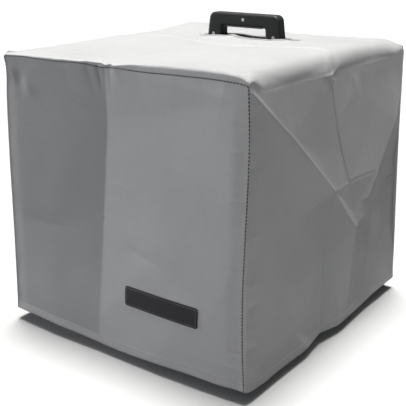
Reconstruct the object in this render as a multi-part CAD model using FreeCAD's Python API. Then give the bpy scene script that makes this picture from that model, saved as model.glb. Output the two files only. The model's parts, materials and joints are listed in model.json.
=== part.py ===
# Tennis ball machine in its fitted storage cover.
# Frame: +Z up, +X to the right seen from the throwing side, -Y is the throwing side (front), origin on the floor
# under the middle of the machine. Millimetres.
import FreeCAD, Part
import math
import os

os.makedirs("parts", exist_ok=True)
V = FreeCAD.Vector

# ---------------------------------------------------------------- driving dimensions
# storage cover
cover_top_x, cover_top_y = 488.0, 514.0
cover_hem_x, cover_hem_y = 500.0, 530.0
cover_hem_z, cover_top_z = 24.0, 494.0
fabric_t = 1.2
slot_len, slot_wid = 204.0, 34.0
# hopper, stored upside down over the machine
hopper_rim_z, hopper_floor_z = 234.5, 488.0
hopper_rim_x, hopper_rim_y = 476.0, 500.0
hopper_floor_x, hopper_floor_y = 446.0, 470.0
hopper_wall = 3.0
# housing
body_x, body_y = 424.0, 472.0
base_z0, base_z1 = 34.0, 38.0
deck_z0, deck_z1 = 268.0, 272.0
wall = 3.5
port_x, port_z0, port_z1 = 78.0, 108.0, 261.0
# tow handle
handle_y, tube_x = 103.0, 62.0
grip_z0, grip_top = 464.0, 538.0
grip_base_x, grip_top_x, grip_depth = 83.0, 73.5, 24.0
# travelling wheels
axle_y, axle_z, axle_r = 198.0, 50.0, 5.0
tyre_r = 50.0
# throwing head
head_y, head_z = -105.0, 160.0
throw_r, throw_gap, throw_w = 75.0, 48.0, 40.0
throw_x = throw_r + throw_gap / 2
gear_teeth, pinion_teeth, gear_m = 48, 12, 2.5
gear_c = gear_m * (gear_teeth + pinion_teeth) / 2
# ball feed
feed_y, pocket_pitch, pocket_r, carousel_r = -70.0, 95.0, 37.0, 141.0
drop_y = feed_y + pocket_pitch


# ---------------------------------------------------------------- helpers
def box(x0, x1, y0, y1, z0, z1):
    return Part.makeBox(x1 - x0, y1 - y0, z1 - z0, V(x0, y0, z0))


def cyl(x, y, z, r, h, axis="z"):
    d = {"x": V(1, 0, 0), "y": V(0, 1, 0), "z": V(0, 0, 1)}[axis]
    return Part.makeCylinder(r, h, V(x, y, z), d)


def tube(x, y, z, ro, ri, h, axis="z"):
    return cyl(x, y, z, ro, h, axis).cut(cyl(x, y, z, ri, h, axis))


def frustum(z0, x0, y0, z1, x1, y1):
    """Solid between two axis-aligned rectangles, each (low, high) in x and y."""
    b = [V(x0[0], y0[0], z0), V(x0[1], y0[0], z0), V(x0[1], y0[1], z0), V(x0[0], y0[1], z0)]
    t = [V(x1[0], y1[0], z1), V(x1[1], y1[0], z1), V(x1[1], y1[1], z1), V(x1[0], y1[1], z1)]
    quads = [b, t] + [[b[i], b[(i + 1) % 4], t[(i + 1) % 4], t[i]] for i in range(4)]
    faces = [Part.Face(Part.makePolygon(q + [q[0]])) for q in quads]
    s = Part.makeSolid(Part.makeShell(faces))
    if s.Volume < 0:
        s.reverse()
    return s


def prism_x(pts, x0, x1):
    """Polygon of (y, z) points drawn out along X."""
    w = [V(x0, p[0], p[1]) for p in pts]
    return Part.Face(Part.makePolygon(w + [w[0]])).extrude(V(x1 - x0, 0, 0))


def rounded(pts, radii, plane_y):
    """Closed wire in an XZ plane through (x, z) points, with a corner radius at each."""
    n = len(pts)
    edges, ends = [], []
    for i in range(n):
        p, a, b = V(pts[i][0], plane_y, pts[i][1]), V(pts[i - 1][0], plane_y, pts[i - 1][1]), V(pts[(i + 1) % n][0], plane_y, pts[(i + 1) % n][1])
        r = radii[i]
        u, w = (a - p).normalize(), (b - p).normalize()
        if r <= 0:
            ends.append((p, p, None))
            continue
        half = math.acos(max(-1, min(1, u.dot(w)))) / 2
        d = r / math.tan(half)
        c = p + (u + w).normalize() * (r / math.sin(half))
        mid = c + (p - c).normalize() * r
        ends.append((p + u * d, p + w * d, mid))
    for i in range(n):
        s, e, mid = ends[i]
        if mid is not None:
            edges.append(Part.Arc(s, mid, e).toShape())
        nxt = ends[(i + 1) % n][0]
        edges.append(Part.makeLine(e, nxt))
    return Part.Wire(edges)


def fillet_try(shape, edges, r):
    for k in (r, r * 0.6, r * 0.3):
        try:
            s = shape.makeFillet(k, edges)
            if s.isValid() and s.Volume > 0:
                return s
        except Exception:
            pass
    return shape


def gear_wire(teeth, m, shift, backlash, pressure=25.0):
    """Involute spur gear outline, centred on the origin in XY, with a tooth centred at angle shift."""
    rp = m * teeth / 2
    alpha = math.radians(pressure)
    rb = rp * math.cos(alpha)
    ra, rf = rp + 0.85 * m, rp - 1.15 * m
    inv = lambda a: math.tan(a) - a
    half_p = math.pi / (2 * teeth) - backlash / (2 * rp)
    pts = []

    def half_at(r):
        if r <= rb:
            return half_p + inv(alpha)
        return half_p + inv(alpha) - inv(math.acos(rb / r))

    r0 = max(rb, rf)
    rs = [r0 + (ra - r0) * k / 7 for k in range(8)]
    for i in range(teeth):
        c = shift + 2 * math.pi * i / teeth
        left = [(r, c - half_at(r)) for r in rs]
        right = [(r, c + half_at(r)) for r in reversed(rs)]
        if rf < rb:
            left = [(rf, c - half_at(rb) - 0.0)] + left
            right = right + [(rf, c + half_at(rb) + 0.0)]
        pts += left + right
    w = [V(r * math.cos(a), r * math.sin(a), 0) for r, a in pts]
    return Part.makePolygon(w + [w[0]])


def gear(teeth, m, shift, backlash, h, bore):
    g = Part.Face(gear_wire(teeth, m, shift, backlash)).extrude(V(0, 0, h))
    return g.cut(cyl(0, 0, -1, bore, h + 2))


OUT = {}


def save(name, *solids):
    flat = []
    for s in solids:
        flat += s.Solids
    shape = flat[0] if len(flat) == 1 else Part.makeCompound(flat)
    for s in flat:
        if not s.isValid() or s.Volume <= 0:
            print("BAD", name, s.isValid(), s.Volume)
    shape.exportStep("parts/%s.step" % name)
    OUT[name] = shape
    bb = shape.BoundBox
    print("%-24s solids %d  x %.1f %.1f  y %.1f %.1f  z %.1f %.1f" % (name, len(flat), bb.XMin, bb.XMax, bb.YMin, bb.YMax, bb.ZMin, bb.ZMax))


# ---------------------------------------------------------------- storage cover: two end panels and one strip over the top
slope_x = (cover_hem_x - cover_top_x) / 2 / (cover_top_z - cover_hem_z)
slope_y = (cover_hem_y - cover_top_y) / 2 / (cover_top_z - cover_hem_z)


def cov_x(z):
    return cover_top_x / 2 + slope_x * (cover_top_z - z)


def cov_y(z):
    return cover_top_y / 2 + slope_y * (cover_top_z - z)


def cover_solid(z0, z1, inset_x, inset_y):
    return frustum(z0, (-cov_x(z0) + inset_x, cov_x(z0) - inset_x), (-cov_y(z0) + inset_y, cov_y(z0) - inset_y),
                   z1, (-cov_x(z1) + inset_x, cov_x(z1) - inset_x), (-cov_y(z1) + inset_y, cov_y(z1) - inset_y))


z0, z1, t = cover_hem_z, cover_top_z, fabric_t
front = frustum(z0, (-cov_x(z0), cov_x(z0)), (-cov_y(z0), -cov_y(z0) + t), z1, (-cov_x(z1), cov_x(z1)), (-cov_y(z1), -cov_y(z1) + t))
back = frustum(z0, (-cov_x(z0), cov_x(z0)), (cov_y(z0) - t, cov_y(z0)), z1, (-cov_x(z1), cov_x(z1)), (cov_y(z1) - t, cov_y(z1)))
wrap = cover_solid(z0, z1, 0, t).cut(cover_solid(z0 - 20, z1 - t, t, t - 5))
slot = box(-slot_len / 2, slot_len / 2, handle_y - slot_wid / 2, handle_y + slot_wid / 2, z1 - 20, z1 + 20)
wrap = wrap.cut(slot)
save("cover_front_panel", front)
save("cover_back_panel", back)
save("cover_wrap_panel", wrap)
hem = cover_solid(z0, z0 + 22, t, t).cut(cover_solid(z0 - 10, z0 + 32, t + 0.9, t + 0.9))
save("cover_hem_band", hem)
bind = box(-slot_len / 2 - 7, slot_len / 2 + 7, handle_y - slot_wid / 2 - 7, handle_y + slot_wid / 2 + 7, z1, z1 + 0.9)
bind = bind.cut(box(-slot_len / 2, slot_len / 2, handle_y - slot_wid / 2, handle_y + slot_wid / 2, z1 - 5, z1 + 5))
save("cover_slot_binding", bind)

# ---------------------------------------------------------------- hopper, upside down
hr, hf = hopper_rim_z, hopper_floor_z


def hop(z0, z1, inset):
    def hx(z):
        return hopper_rim_x / 2 + (hopper_floor_x - hopper_rim_x) / 2 * (z - hr) / (hf - hr) - inset

    def hy(z):
        return hopper_rim_y / 2 + (hopper_floor_y - hopper_rim_y) / 2 * (z - hr) / (hf - hr) - inset
    return frustum(z0, (-hx(z0), hx(z0)), (-hy(z0), hy(z0)), z1, (-hx(z1), hx(z1)), (-hy(z1), hy(z1)))


hopper = hop(hr, hf, 0).cut(hop(hr - 10, hf - hopper_wall, hopper_wall))
hopper = hopper.cut(cyl(0, feed_y, hf - 10, 152, 20))
hopper = hopper.cut(box(-95, 95, handle_y - 20, handle_y + 20, hf - 10, hf + 10))
rim = box(-242, 242, -254, 254, hr, hr + 5).cut(hop(hr - 10, hr + 20, 0))
save("hopper_shell", hopper.fuse(rim).removeSplitter())

# ---------------------------------------------------------------- housing
bx, by = body_x / 2, body_y / 2
base = box(-bx, bx, -by, by, base_z0, base_z1)
base = base.cut(cyl(0, head_y, base_z0 - 1, 10.05, 6))
hs = box(-bx, bx, -by, by, base_z1, deck_z0).cut(box(-bx + wall, bx - wall, -by + wall, by - wall, base_z1 - 1, deck_z0 + 1))
hs = hs.cut(box(-port_x, port_x, -by - 1, -by + wall + 1, port_z0, port_z1))
hs = hs.cut(box(-112, 112, by - wall - 1, by + 1, 103, 217))
hs = hs.cut(cyl(-bx - 1, axle_y, axle_z, axle_r, body_x + 2, "x"))
save("lower_housing", hs)
# bezel round the ball port, on the outside of the front wall
bez = box(-port_x - 10, port_x + 10, -by - 3, -by, port_z0 - 10, port_z1 + 5).cut(box(-port_x, port_x, -by - 4, -by + 1, port_z0, port_z1))
save("ball_port_bezel", bez)
deck = box(-bx, bx, -by, by, deck_z0, deck_z1)
deck = deck.cut(cyl(0, drop_y, deck_z0 - 1, 38, 6)).cut(cyl(0, feed_y, deck_z0 - 1, 8, 6))
for sx in (-1, 1):
    deck = deck.cut(cyl(sx * tube_x, handle_y, deck_z0 - 1, 12, 6))
save("top_deck", deck)
ledge = box(-238, 238, -250, 250, 226, 234).cut(box(-bx, bx, -by, by, 220, 240))
# the ledge stops each side of the ball port
ledge = ledge.cut(box(-port_x - 12, port_x + 12, -260, -by + 1, 220, 240))
save("hopper_ledge", ledge)

# ---------------------------------------------------------------- feet, axle, travelling wheels
feet = []
for sx in (-1, 1):
    f = Part.makeCone(19, 23, base_z0 - 3, V(sx * 178, -204, 0)).fuse(cyl(sx * 178, -204, base_z0 - 3, 23, 3)).removeSplitter()
    feet.append(f.cut(cyl(sx * 178, -204, -1, 5, 9)))
save("front_feet", *feet)
save("axle", cyl(-241, axle_y, axle_z, axle_r, 482, "x"))
br = []
for sx in (-1, 1):
    xa = sx * (bx - wall)
    b = box(min(xa, xa - sx * 14), max(xa, xa - sx * 14), axle_y - 16, axle_y + 16, base_z1, axle_z + 16)
    br.append(b.cut(cyl(-bx, axle_y, axle_z, axle_r, body_x, "x")))
caps = []
for side, sx in (("left", -1), ("right", 1)):
    x0 = sx * 216 if sx > 0 else -238
    rimw = tube(x0, axle_y, axle_z, 38, 33, 22, "x")
    xh = 212.6 if sx > 0 else -238
    hub = tube(xh, axle_y, axle_z, 13, axle_r + 0.05, 25.4, "x")
    web = tube(x0 + 8, axle_y, axle_z, 34, 12, 6, "x")
    w = rimw.fuse([hub, web]).removeSplitter()
    for k in range(5):
        a = math.radians(72 * k + 18)
        w = w.cut(cyl(x0, axle_y + 23 * math.cos(a), axle_z + 23 * math.sin(a), 6, 22, "x"))
    save("wheel_rim_%s" % side, w)
    ty = tube(x0 + 0.5, axle_y, axle_z, tyre_r, 38, 21, "x")
    ty = fillet_try(ty, [e for e in ty.Edges if isinstance(e.Curve, Part.Circle) and abs(e.Curve.Radius - tyre_r) < 0.01], 4.0)
    save("wheel_tyre_%s" % side, ty)
    c = tube(238.3 if sx > 0 else -243, axle_y, axle_z, 9, axle_r, 2.7, "x").fuse(cyl(241 if sx > 0 else -243, axle_y, axle_z, 9, 2, "x")).removeSplitter()
    caps.append(c)
save("axle_end_caps", *caps)

# ---------------------------------------------------------------- tow handle
guides, mids, inners = [], [], []
for sx in (-1, 1):
    guides.append(tube(sx * tube_x, handle_y, 44, 12, 10.6, 412))
    mids.append(tube(sx * tube_x, handle_y, 56, 10.5, 8.6, 403))
    inners.append(tube(sx * tube_x, handle_y, 68, 8.5, 7.0, 428))
save("handle_guide_tubes", *guides)
save("handle_middle_tubes", *mids)
save("handle_inner_tubes", *inners)
foot = box(-82, 82, handle_y - 15, handle_y + 14, base_z1, 62)
for sx in (-1, 1):
    foot = foot.cut(cyl(sx * tube_x, handle_y, 44, 12, 30))
save("handle_foot_bracket", foot)
hb = box(-86, 86, handle_y - 16, handle_y + 16, 438, 456)
hb = fillet_try(hb, [e for e in hb.Edges if abs(e.BoundBox.ZLength - 18) < 0.1], 10)
for sx in (-1, 1):
    hb = hb.cut(cyl(sx * tube_x, handle_y, 430, 12, 40))
save("handle_top_bezel", hb)

# grip: a closed loop, split into a front and a rear half, with a squeeze bar under the bar
gy0, gy1 = handle_y - grip_depth / 2, handle_y + grip_depth / 2
outer = Part.Face(rounded([(-grip_base_x, grip_z0), (grip_base_x, grip_z0), (grip_top_x, grip_top), (-grip_top_x, grip_top)], [3, 3, 12, 12], gy0))
inner = Part.Face(rounded([(-48, 488), (48, 488), (47, 515), (-47, 515)], [5, 5, 5, 5], gy0))
loop = outer.cut(inner).extrude(V(0, grip_depth, 0))
rim_edges = [e for e in loop.Edges if (abs(e.BoundBox.YMin - gy0) < 1e-3 and abs(e.BoundBox.YMax - gy0) < 1e-3) or (abs(e.BoundBox.YMin - gy1) < 1e-3 and abs(e.BoundBox.YMax - gy1) < 1e-3)]
loop = fillet_try(loop, rim_edges, 4.5)
for sx in (-1, 1):
    loop = loop.cut(cyl(sx * tube_x, handle_y, grip_z0 - 1, 8.5, 33))
loop = loop.cut(box(-40, 40, handle_y - 9, handle_y + 9, 511, 524.6))
screw_at = [(0, 527.2), (-65, 499), (65, 499)]
screws = []
for x, z in screw_at:
    s = cyl(x, gy0 + 0.8, z, 3.2, 1.8, "y").fuse(cyl(x, gy0 + 2.6, z, 1.5, 18, "y")).removeSplitter()
    recess = box(x - 2.1, x + 2.1, gy0, gy0 + 1.5, z - 0.4, z + 0.4).fuse(box(x - 0.4, x + 0.4, gy0, gy0 + 1.5, z - 2.1, z + 2.1))
    screws.append(s.cut(recess))
    loop = loop.cut(cyl(x, gy0 - 1, z, 3.2, 3.6, "y")).cut(cyl(x, gy0 + 2.6, z, 1.5, 18, "y"))
save("grip_front_half", loop.common(box(-100, 100, gy0 - 2, handle_y, 400, 600)))
save("grip_rear_half", loop.common(box(-100, 100, handle_y, gy1 + 2, 400, 600)))
save("grip_screws", *screws)
trig = box(-39.5, 39.5, handle_y - 8.5, handle_y + 8.5, 512.4, 520)
trig = fillet_try(trig, [e for e in trig.Edges if abs(e.BoundBox.ZMax - 512.4) < 1e-3], 2.5)
save("grip_release_bar", trig)
# two bowed leaf springs over the bar, crowned against the pocket's top
spr = []
for sx in (-1, 1):
    xs = [-10 + 20.0 * i / 16 for i in range(17)]
    low = [V(sx * 22 + x, handle_y - 5, 520.1 + 3.8 * math.cos(math.pi * x / 20)) for x in xs]
    high = [V(p.x, p.y, p.z + 0.5) for p in reversed(low)]
    spr.append(Part.Face(Part.makePolygon(low + high + [low[0]])).extrude(V(0, 10, 0)))
save("release_springs", *spr)

# ---------------------------------------------------------------- control panel, recessed in the rear wall
cp = box(-112, 112, by - 22, by, 103, 217).cut(box(-109, 109, by - 19, by + 1, 106, 214))
knob_z, low_z = 178.0, 132.0
for x in (-78, -30):
    cp = cp.cut(cyl(x, by - 23, knob_z, 3.1, 6, "y"))
rock = [(24, knob_z), (70, knob_z)]
for x, z in rock:
    cp = cp.cut(box(x - 8, x + 8, by - 23, by - 18, z - 14, z + 14))
cp = cp.cut(cyl(-78, by - 23, low_z, 6, 6, "y")).cut(cyl(-30, by - 23, low_z, 3, 6, "y"))
for name, x in (("speed_knob", -78), ("feed_knob", -30)):
    k = Part.makeCone(14, 12, 13, V(x, by - 18.5, knob_z), V(0, 1, 0))
    for i in range(12):
        a = math.radians(30 * i + 15)
        k = k.cut(cyl(x + 14.6 * math.cos(a), by - 19, knob_z + 14.6 * math.sin(a), 1.8, 15, "y"))
    k = k.cut(box(x - 0.7, x + 0.7, by - 6.3, by - 5, knob_z + 2, knob_z + 13))
    k = k.fuse(cyl(x, by - 32, knob_z, 3.0, 14, "y")).removeSplitter()
    save(name, k)
pots = []
for x in (-78, -30):
    pots.append(tube(x, by - 34, knob_z, 9, 3.05, 12, "y").fuse(cyl(x, by - 36, knob_z, 9, 2, "y")).removeSplitter())
for name, (x, z) in (("power_rocker", rock[0]), ("sweep_rocker", rock[1])):
    r = prism_x([(by - 21.0, z - 12), (by - 13.6, z - 12), (by - 16.6, z), (by - 13.6, z + 12), (by - 21.0, z + 12), (by - 25.5, z)], x - 6.6, x + 6.6)
    save(name, r)
frames = []
for x, z in rock:
    fr = box(x - 10, x + 10, by - 19, by - 17.6, z - 16, z + 16).cut(box(x - 7.4, x + 7.4, by - 20, by - 10, z - 13.4, z + 13.4))
    frames.append(fr)
save("control_panel", cp.fuse(frames).removeSplitter())
jack = cyl(-78, by - 32, low_z, 6, 13, "y").fuse(cyl(-78, by - 19, low_z, 9, 3, "y")).removeSplitter().cut(cyl(-78, by - 30, low_z, 2.75, 15, "y"))
save("charger_socket", jack)
led = cyl(-30, by - 24, low_z, 3.0, 5, "y").fuse(Part.makeSphere(3.0, V(-30, by - 19, low_z))).removeSplitter()
save("charge_lamp", led)
board = box(-95, 95, 196, 197.8, 112, 200)
save("control_board", board, *pots)

# ---------------------------------------------------------------- battery
bat = box(-90, 90, 120, 191, 38, 200)
for x in (-70, 70):
    bat = bat.fuse(box(x - 7, x + 7, 130, 142, 200, 208))
save("battery", bat.removeSplitter())
strap = box(-14, 14, 118, 193, 38, 202).cut(box(-14, 14, 120, 191, 37, 200))
save("battery_strap", strap)

# ---------------------------------------------------------------- ball feed
bowl = cyl(0, feed_y, deck_z1, 149, 56).cut(cyl(0, feed_y, deck_z1 + 3, 146, 60))
bowl = bowl.cut(cyl(0, drop_y, deck_z1 - 1, 38, 6)).cut(cyl(0, feed_y, deck_z1 - 1, 6, 6))
save("feed_bowl", bowl)
cz0, cz1 = deck_z1 + 5, deck_z1 + 50
car = cyl(0, feed_y, cz0, carousel_r, cz1 - cz0)
for k in range(6):
    a = math.radians(90 + 60 * k)
    px, py = pocket_pitch * math.cos(a), feed_y + pocket_pitch * math.sin(a)
    car = car.cut(cyl(px, py, cz0 - 1, pocket_r, 60))
car = car.fuse(cyl(0, feed_y, 246, 5, cz0 + 10 - 246)).removeSplitter()
save("feed_carousel", car)
cap = Part.makeCone(48, 12, 26, V(0, feed_y, cz1))
save("carousel_cap", fillet_try(cap, [e for e in cap.Edges if e.BoundBox.ZMin > cz1 + 20], 5))
fm = cyl(0, feed_y, 222, 25, 42).fuse(box(-34, 34, feed_y - 34, feed_y + 34, 264, 268)).removeSplitter().cut(cyl(0, feed_y, 244, 5.06, 40))
save("feed_gearmotor", fm)
ch = tube(0, drop_y, 216, 40.5, 38, deck_z0 - 216)
ramp = prism_x([(64, 216), (64, 211), (-12, 157), (-12, 160), (60, 211), (60, 216)], -41, 41)
side = [prism_x([(64, 216), (64, 211), (-12, 157), (-12, 190), (10, 216)], x0, x0 + 2.5) for x0 in (-41, 38.5)]
back_w = box(-41, 41, 62, 65.5, 209, 220)
chute = ch.fuse([ramp, side[0], side[1]]).removeSplitter()
save("ball_chute", chute)

# ---------------------------------------------------------------- turning yoke and throwing head
beam_z0, beam_z1 = 50.0, 54.0
yoke = box(-185, 185, head_y - 25, head_y + 25, beam_z0, beam_z1)
for sx in (-1, 1):
    xa, xb = (181, 185) if sx > 0 else (-185, -181)
    arm = box(xa, xb, head_y - 25, head_y + 25, beam_z1, head_z + 16)
    yoke = yoke.fuse(arm)
yoke = yoke.removeSplitter().cut(cyl(-190, head_y, head_z, 6.05, 380, "x"))
yoke = yoke.cut(cyl(170, head_y, head_z - gear_c, 3.1, 30, "x"))
save("yoke", yoke)
g = gear(gear_teeth, gear_m, 0, 0.25, 7.5, 10)
g.rotate(V(0, 0, 0), V(0, 0, 1), -90)
g.translate(V(0, head_y, 42.5))
g = g.fuse(cyl(0, head_y, base_z0 + 0.5, 10, beam_z0 - base_z0 - 0.5)).removeSplitter()
save("yoke_turn_gear", g)
save("turntable_ring", tube(0, head_y, base_z1, 50, 12, 4.2))
half = math.pi / pinion_teeth
p = gear(pinion_teeth, gear_m, half, 0.25, 7.5, 3)
p.rotate(V(0, 0, 0), V(0, 0, 1), 90)
p.translate(V(0, head_y - gear_c, 42.5))
save("turn_pinion", p.fuse(cyl(0, head_y - gear_c, 40, 3, 34)).removeSplitter())
tm = cyl(0, head_y - gear_c, 58, 18, 54).cut(cyl(0, head_y - gear_c, 57, 3.06, 20))
tb = box(-32, 32, head_y - gear_c - 20, head_y - gear_c + 4, base_z1, 58).cut(box(-26, 26, head_y - gear_c - 22, head_y - gear_c + 6, base_z1 - 1, 54.5))
tb = tb.cut(cyl(0, head_y - gear_c, 50, 6, 10))
save("turn_gearmotor", tm)
save("base_tray", base.fuse([tb] + br).removeSplitter())

plate_z0, plate_z1 = 122.0, 126.0
pl = box(-179, 179, head_y - 60, head_y + 100, plate_z0, plate_z1)
for sx in (-1, 1):
    pl = pl.cut(cyl(sx * throw_x, head_y, plate_z0 - 1, 9, 8))
    xa, xb = (176, 179) if sx > 0 else (-179, -176)
    pl = pl.fuse(box(xa, xb, head_y - 20, head_y + 20, plate_z1, head_z + 14))
pl = pl.removeSplitter().cut(cyl(-190, head_y, head_z, 6, 380, "x"))
rails = [box(sx * 36 - 1.5 + (1.5 if sx > 0 else -1.5), sx * 36 + 1.5 + (1.5 if sx > 0 else -1.5), head_y + 47, head_y + 98, plate_z1, 149) for sx in (-1, 1)]
save("head_plate", pl.fuse(rails).removeSplitter())
pins = [cyl(176, head_y, head_z, 6, 18, "x"), cyl(-194, head_y, head_z, 6, 18, "x")]
save("trunnion_pins", *pins)
# gear drawn in XY, then turned about Y by 90 degrees: its +X side points down
pl_sec = FreeCAD.Placement(V(188, head_y, head_z), FreeCAD.Rotation(V(0, 1, 0), 90))
sec = gear(gear_teeth, gear_m, 0, 0.25, 5, 6).cut(box(-80, -14, -80, 80, -1, 8))
sec.Placement = pl_sec
save("tilt_sector_gear", sec)
tp = gear(pinion_teeth, gear_m, half + math.pi, 0.25, 5, 3)
tp.Placement = FreeCAD.Placement(V(188, head_y, head_z - gear_c), FreeCAD.Rotation(V(0, 1, 0), 90))
save("tilt_pinion", tp.fuse(cyl(164, head_y, head_z - gear_c, 3, 30, "x")).removeSplitter())
el = cyl(137, head_y, head_z - gear_c, 17, 44, "x").cut(cyl(162, head_y, head_z - gear_c, 3.06, 30, "x"))
save("tilt_gearmotor", el)

for side, sx in (("left", -1), ("right", 1)):
    m = cyl(sx * throw_x, head_y, 62, 31, plate_z0 - 62)
    m = m.cut(cyl(sx * throw_x, head_y, 100, 4.06, 30))
    m = fillet_try(m, [e for e in m.Edges if e.BoundBox.ZMax < 63], 3)
    save("throw_motor_%s" % side, m)
    sh = cyl(sx * throw_x, head_y, 102, 4, 80)
    hub = tube(sx * throw_x, head_y, head_z - throw_w / 2, 60, 52, throw_w).fuse([tube(sx * throw_x, head_y, head_z - 5, 54, 10, 10), tube(sx * throw_x, head_y, head_z - throw_w / 2 - 4, 14, 4, throw_w + 4)]).removeSplitter()
    for k in range(6):
        a = math.radians(60 * k + 30)
        hub = hub.cut(cyl(sx * throw_x + 33 * math.cos(a), head_y + 33 * math.sin(a), head_z - 20, 11, 40))
    save("throw_wheel_%s" % side, hub.fuse(sh).removeSplitter())
    tr = Part.makeCylinder(throw_r, throw_w, V(sx * throw_x, head_y, head_z - throw_w / 2)).cut(cyl(sx * throw_x, head_y, head_z - throw_w / 2, 60, throw_w))
    # shallow V in the tread that centres the ball
    vee = Part.Face(Part.makePolygon([V(throw_r - 5, 0, 0), V(throw_r + 1, 0, 10), V(throw_r + 1, 0, -10), V(throw_r - 5, 0, 0)])).revolve(V(0, 0, 0), V(0, 0, 1), 360)
    vee.translate(V(sx * throw_x, head_y, head_z))
    tr = tr.cut(vee)
    save("throw_tyre_%s" % side, tr)

total = Part.makeCompound(list(OUT.values()))
bb = total.BoundBox
print("nodes", len(OUT), "box", round(bb.XLength, 1), round(bb.YLength, 1), round(bb.ZLength, 1), "min", bb.XMin, bb.YMin, bb.ZMin)
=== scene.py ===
import json
import math

import bpy
import numpy as np
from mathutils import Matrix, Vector, geometry


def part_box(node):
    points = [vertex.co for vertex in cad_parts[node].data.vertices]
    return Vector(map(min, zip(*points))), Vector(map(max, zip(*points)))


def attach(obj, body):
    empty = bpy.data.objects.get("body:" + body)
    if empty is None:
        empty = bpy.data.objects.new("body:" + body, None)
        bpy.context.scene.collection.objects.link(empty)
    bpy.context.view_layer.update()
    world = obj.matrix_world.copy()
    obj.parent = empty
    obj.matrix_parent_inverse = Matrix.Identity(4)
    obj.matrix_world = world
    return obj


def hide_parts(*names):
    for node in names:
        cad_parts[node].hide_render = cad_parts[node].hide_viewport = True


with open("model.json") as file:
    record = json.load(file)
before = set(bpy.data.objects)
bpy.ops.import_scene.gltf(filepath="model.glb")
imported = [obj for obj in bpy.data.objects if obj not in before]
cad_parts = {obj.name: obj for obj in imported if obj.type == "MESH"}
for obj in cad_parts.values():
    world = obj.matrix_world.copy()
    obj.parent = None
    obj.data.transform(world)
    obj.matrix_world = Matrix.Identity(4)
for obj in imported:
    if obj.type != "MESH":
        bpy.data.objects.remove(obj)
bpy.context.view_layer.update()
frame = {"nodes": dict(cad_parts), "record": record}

NODES = frame["nodes"]

# ------------------------------------------------------------------ the cover's base form, in millimetres
Z_TOP, Z_HEM = 494.0, 24.0
THICK = 0.9
_lo, _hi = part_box("cover_slot_binding")
SLIT_Y = 500.0 * (_lo[1] + _hi[1])
SLIT_A, SLIT_B = -98.0, 107.0


def hx(z):
    return 244.0 + 6.0 * (Z_TOP - z) / 470.0


def hy(z):
    return 257.0 + 8.0 * (Z_TOP - z) / 470.0


def smooth(t):
    t = np.clip(t, 0, 1)
    return t * t * (3 - 2 * t)


def curve(x, table):
    """Smooth-ish interpolation through (x, value) pairs."""
    xs, vs = np.array(sorted(table), float).T
    x = np.asarray(x, float)
    i = np.clip(np.searchsorted(xs, x) - 1, 0, len(xs) - 2)
    t = np.clip((x - xs[i]) / (xs[i + 1] - xs[i]), 0, 1)
    m = np.gradient(vs, xs)
    h = xs[i + 1] - xs[i]
    t2, t3 = t * t, t * t * t
    return (2 * t3 - 3 * t2 + 1) * vs[i] + (t3 - 2 * t2 + t) * h * m[i] + (3 * t2 - 2 * t3) * vs[i + 1] + (t3 - t2) * h * m[i + 1]


def value_noise(a, b, scale, seed):
    g = np.random.default_rng(seed).uniform(-1, 1, (64, 64))
    a, b = np.asarray(a, float) / scale + 17.3, np.asarray(b, float) / scale + 9.1
    i, j = np.floor(a).astype(int), np.floor(b).astype(int)
    u, v = smooth(a - i), smooth(b - j)
    i0, i1, j0, j1 = i % 64, (i + 1) % 64, j % 64, (j + 1) % 64
    return (g[i0, j0] * (1 - u) + g[i1, j0] * u) * (1 - v) + (g[i0, j1] * (1 - u) + g[i1, j1] * u) * v


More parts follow.
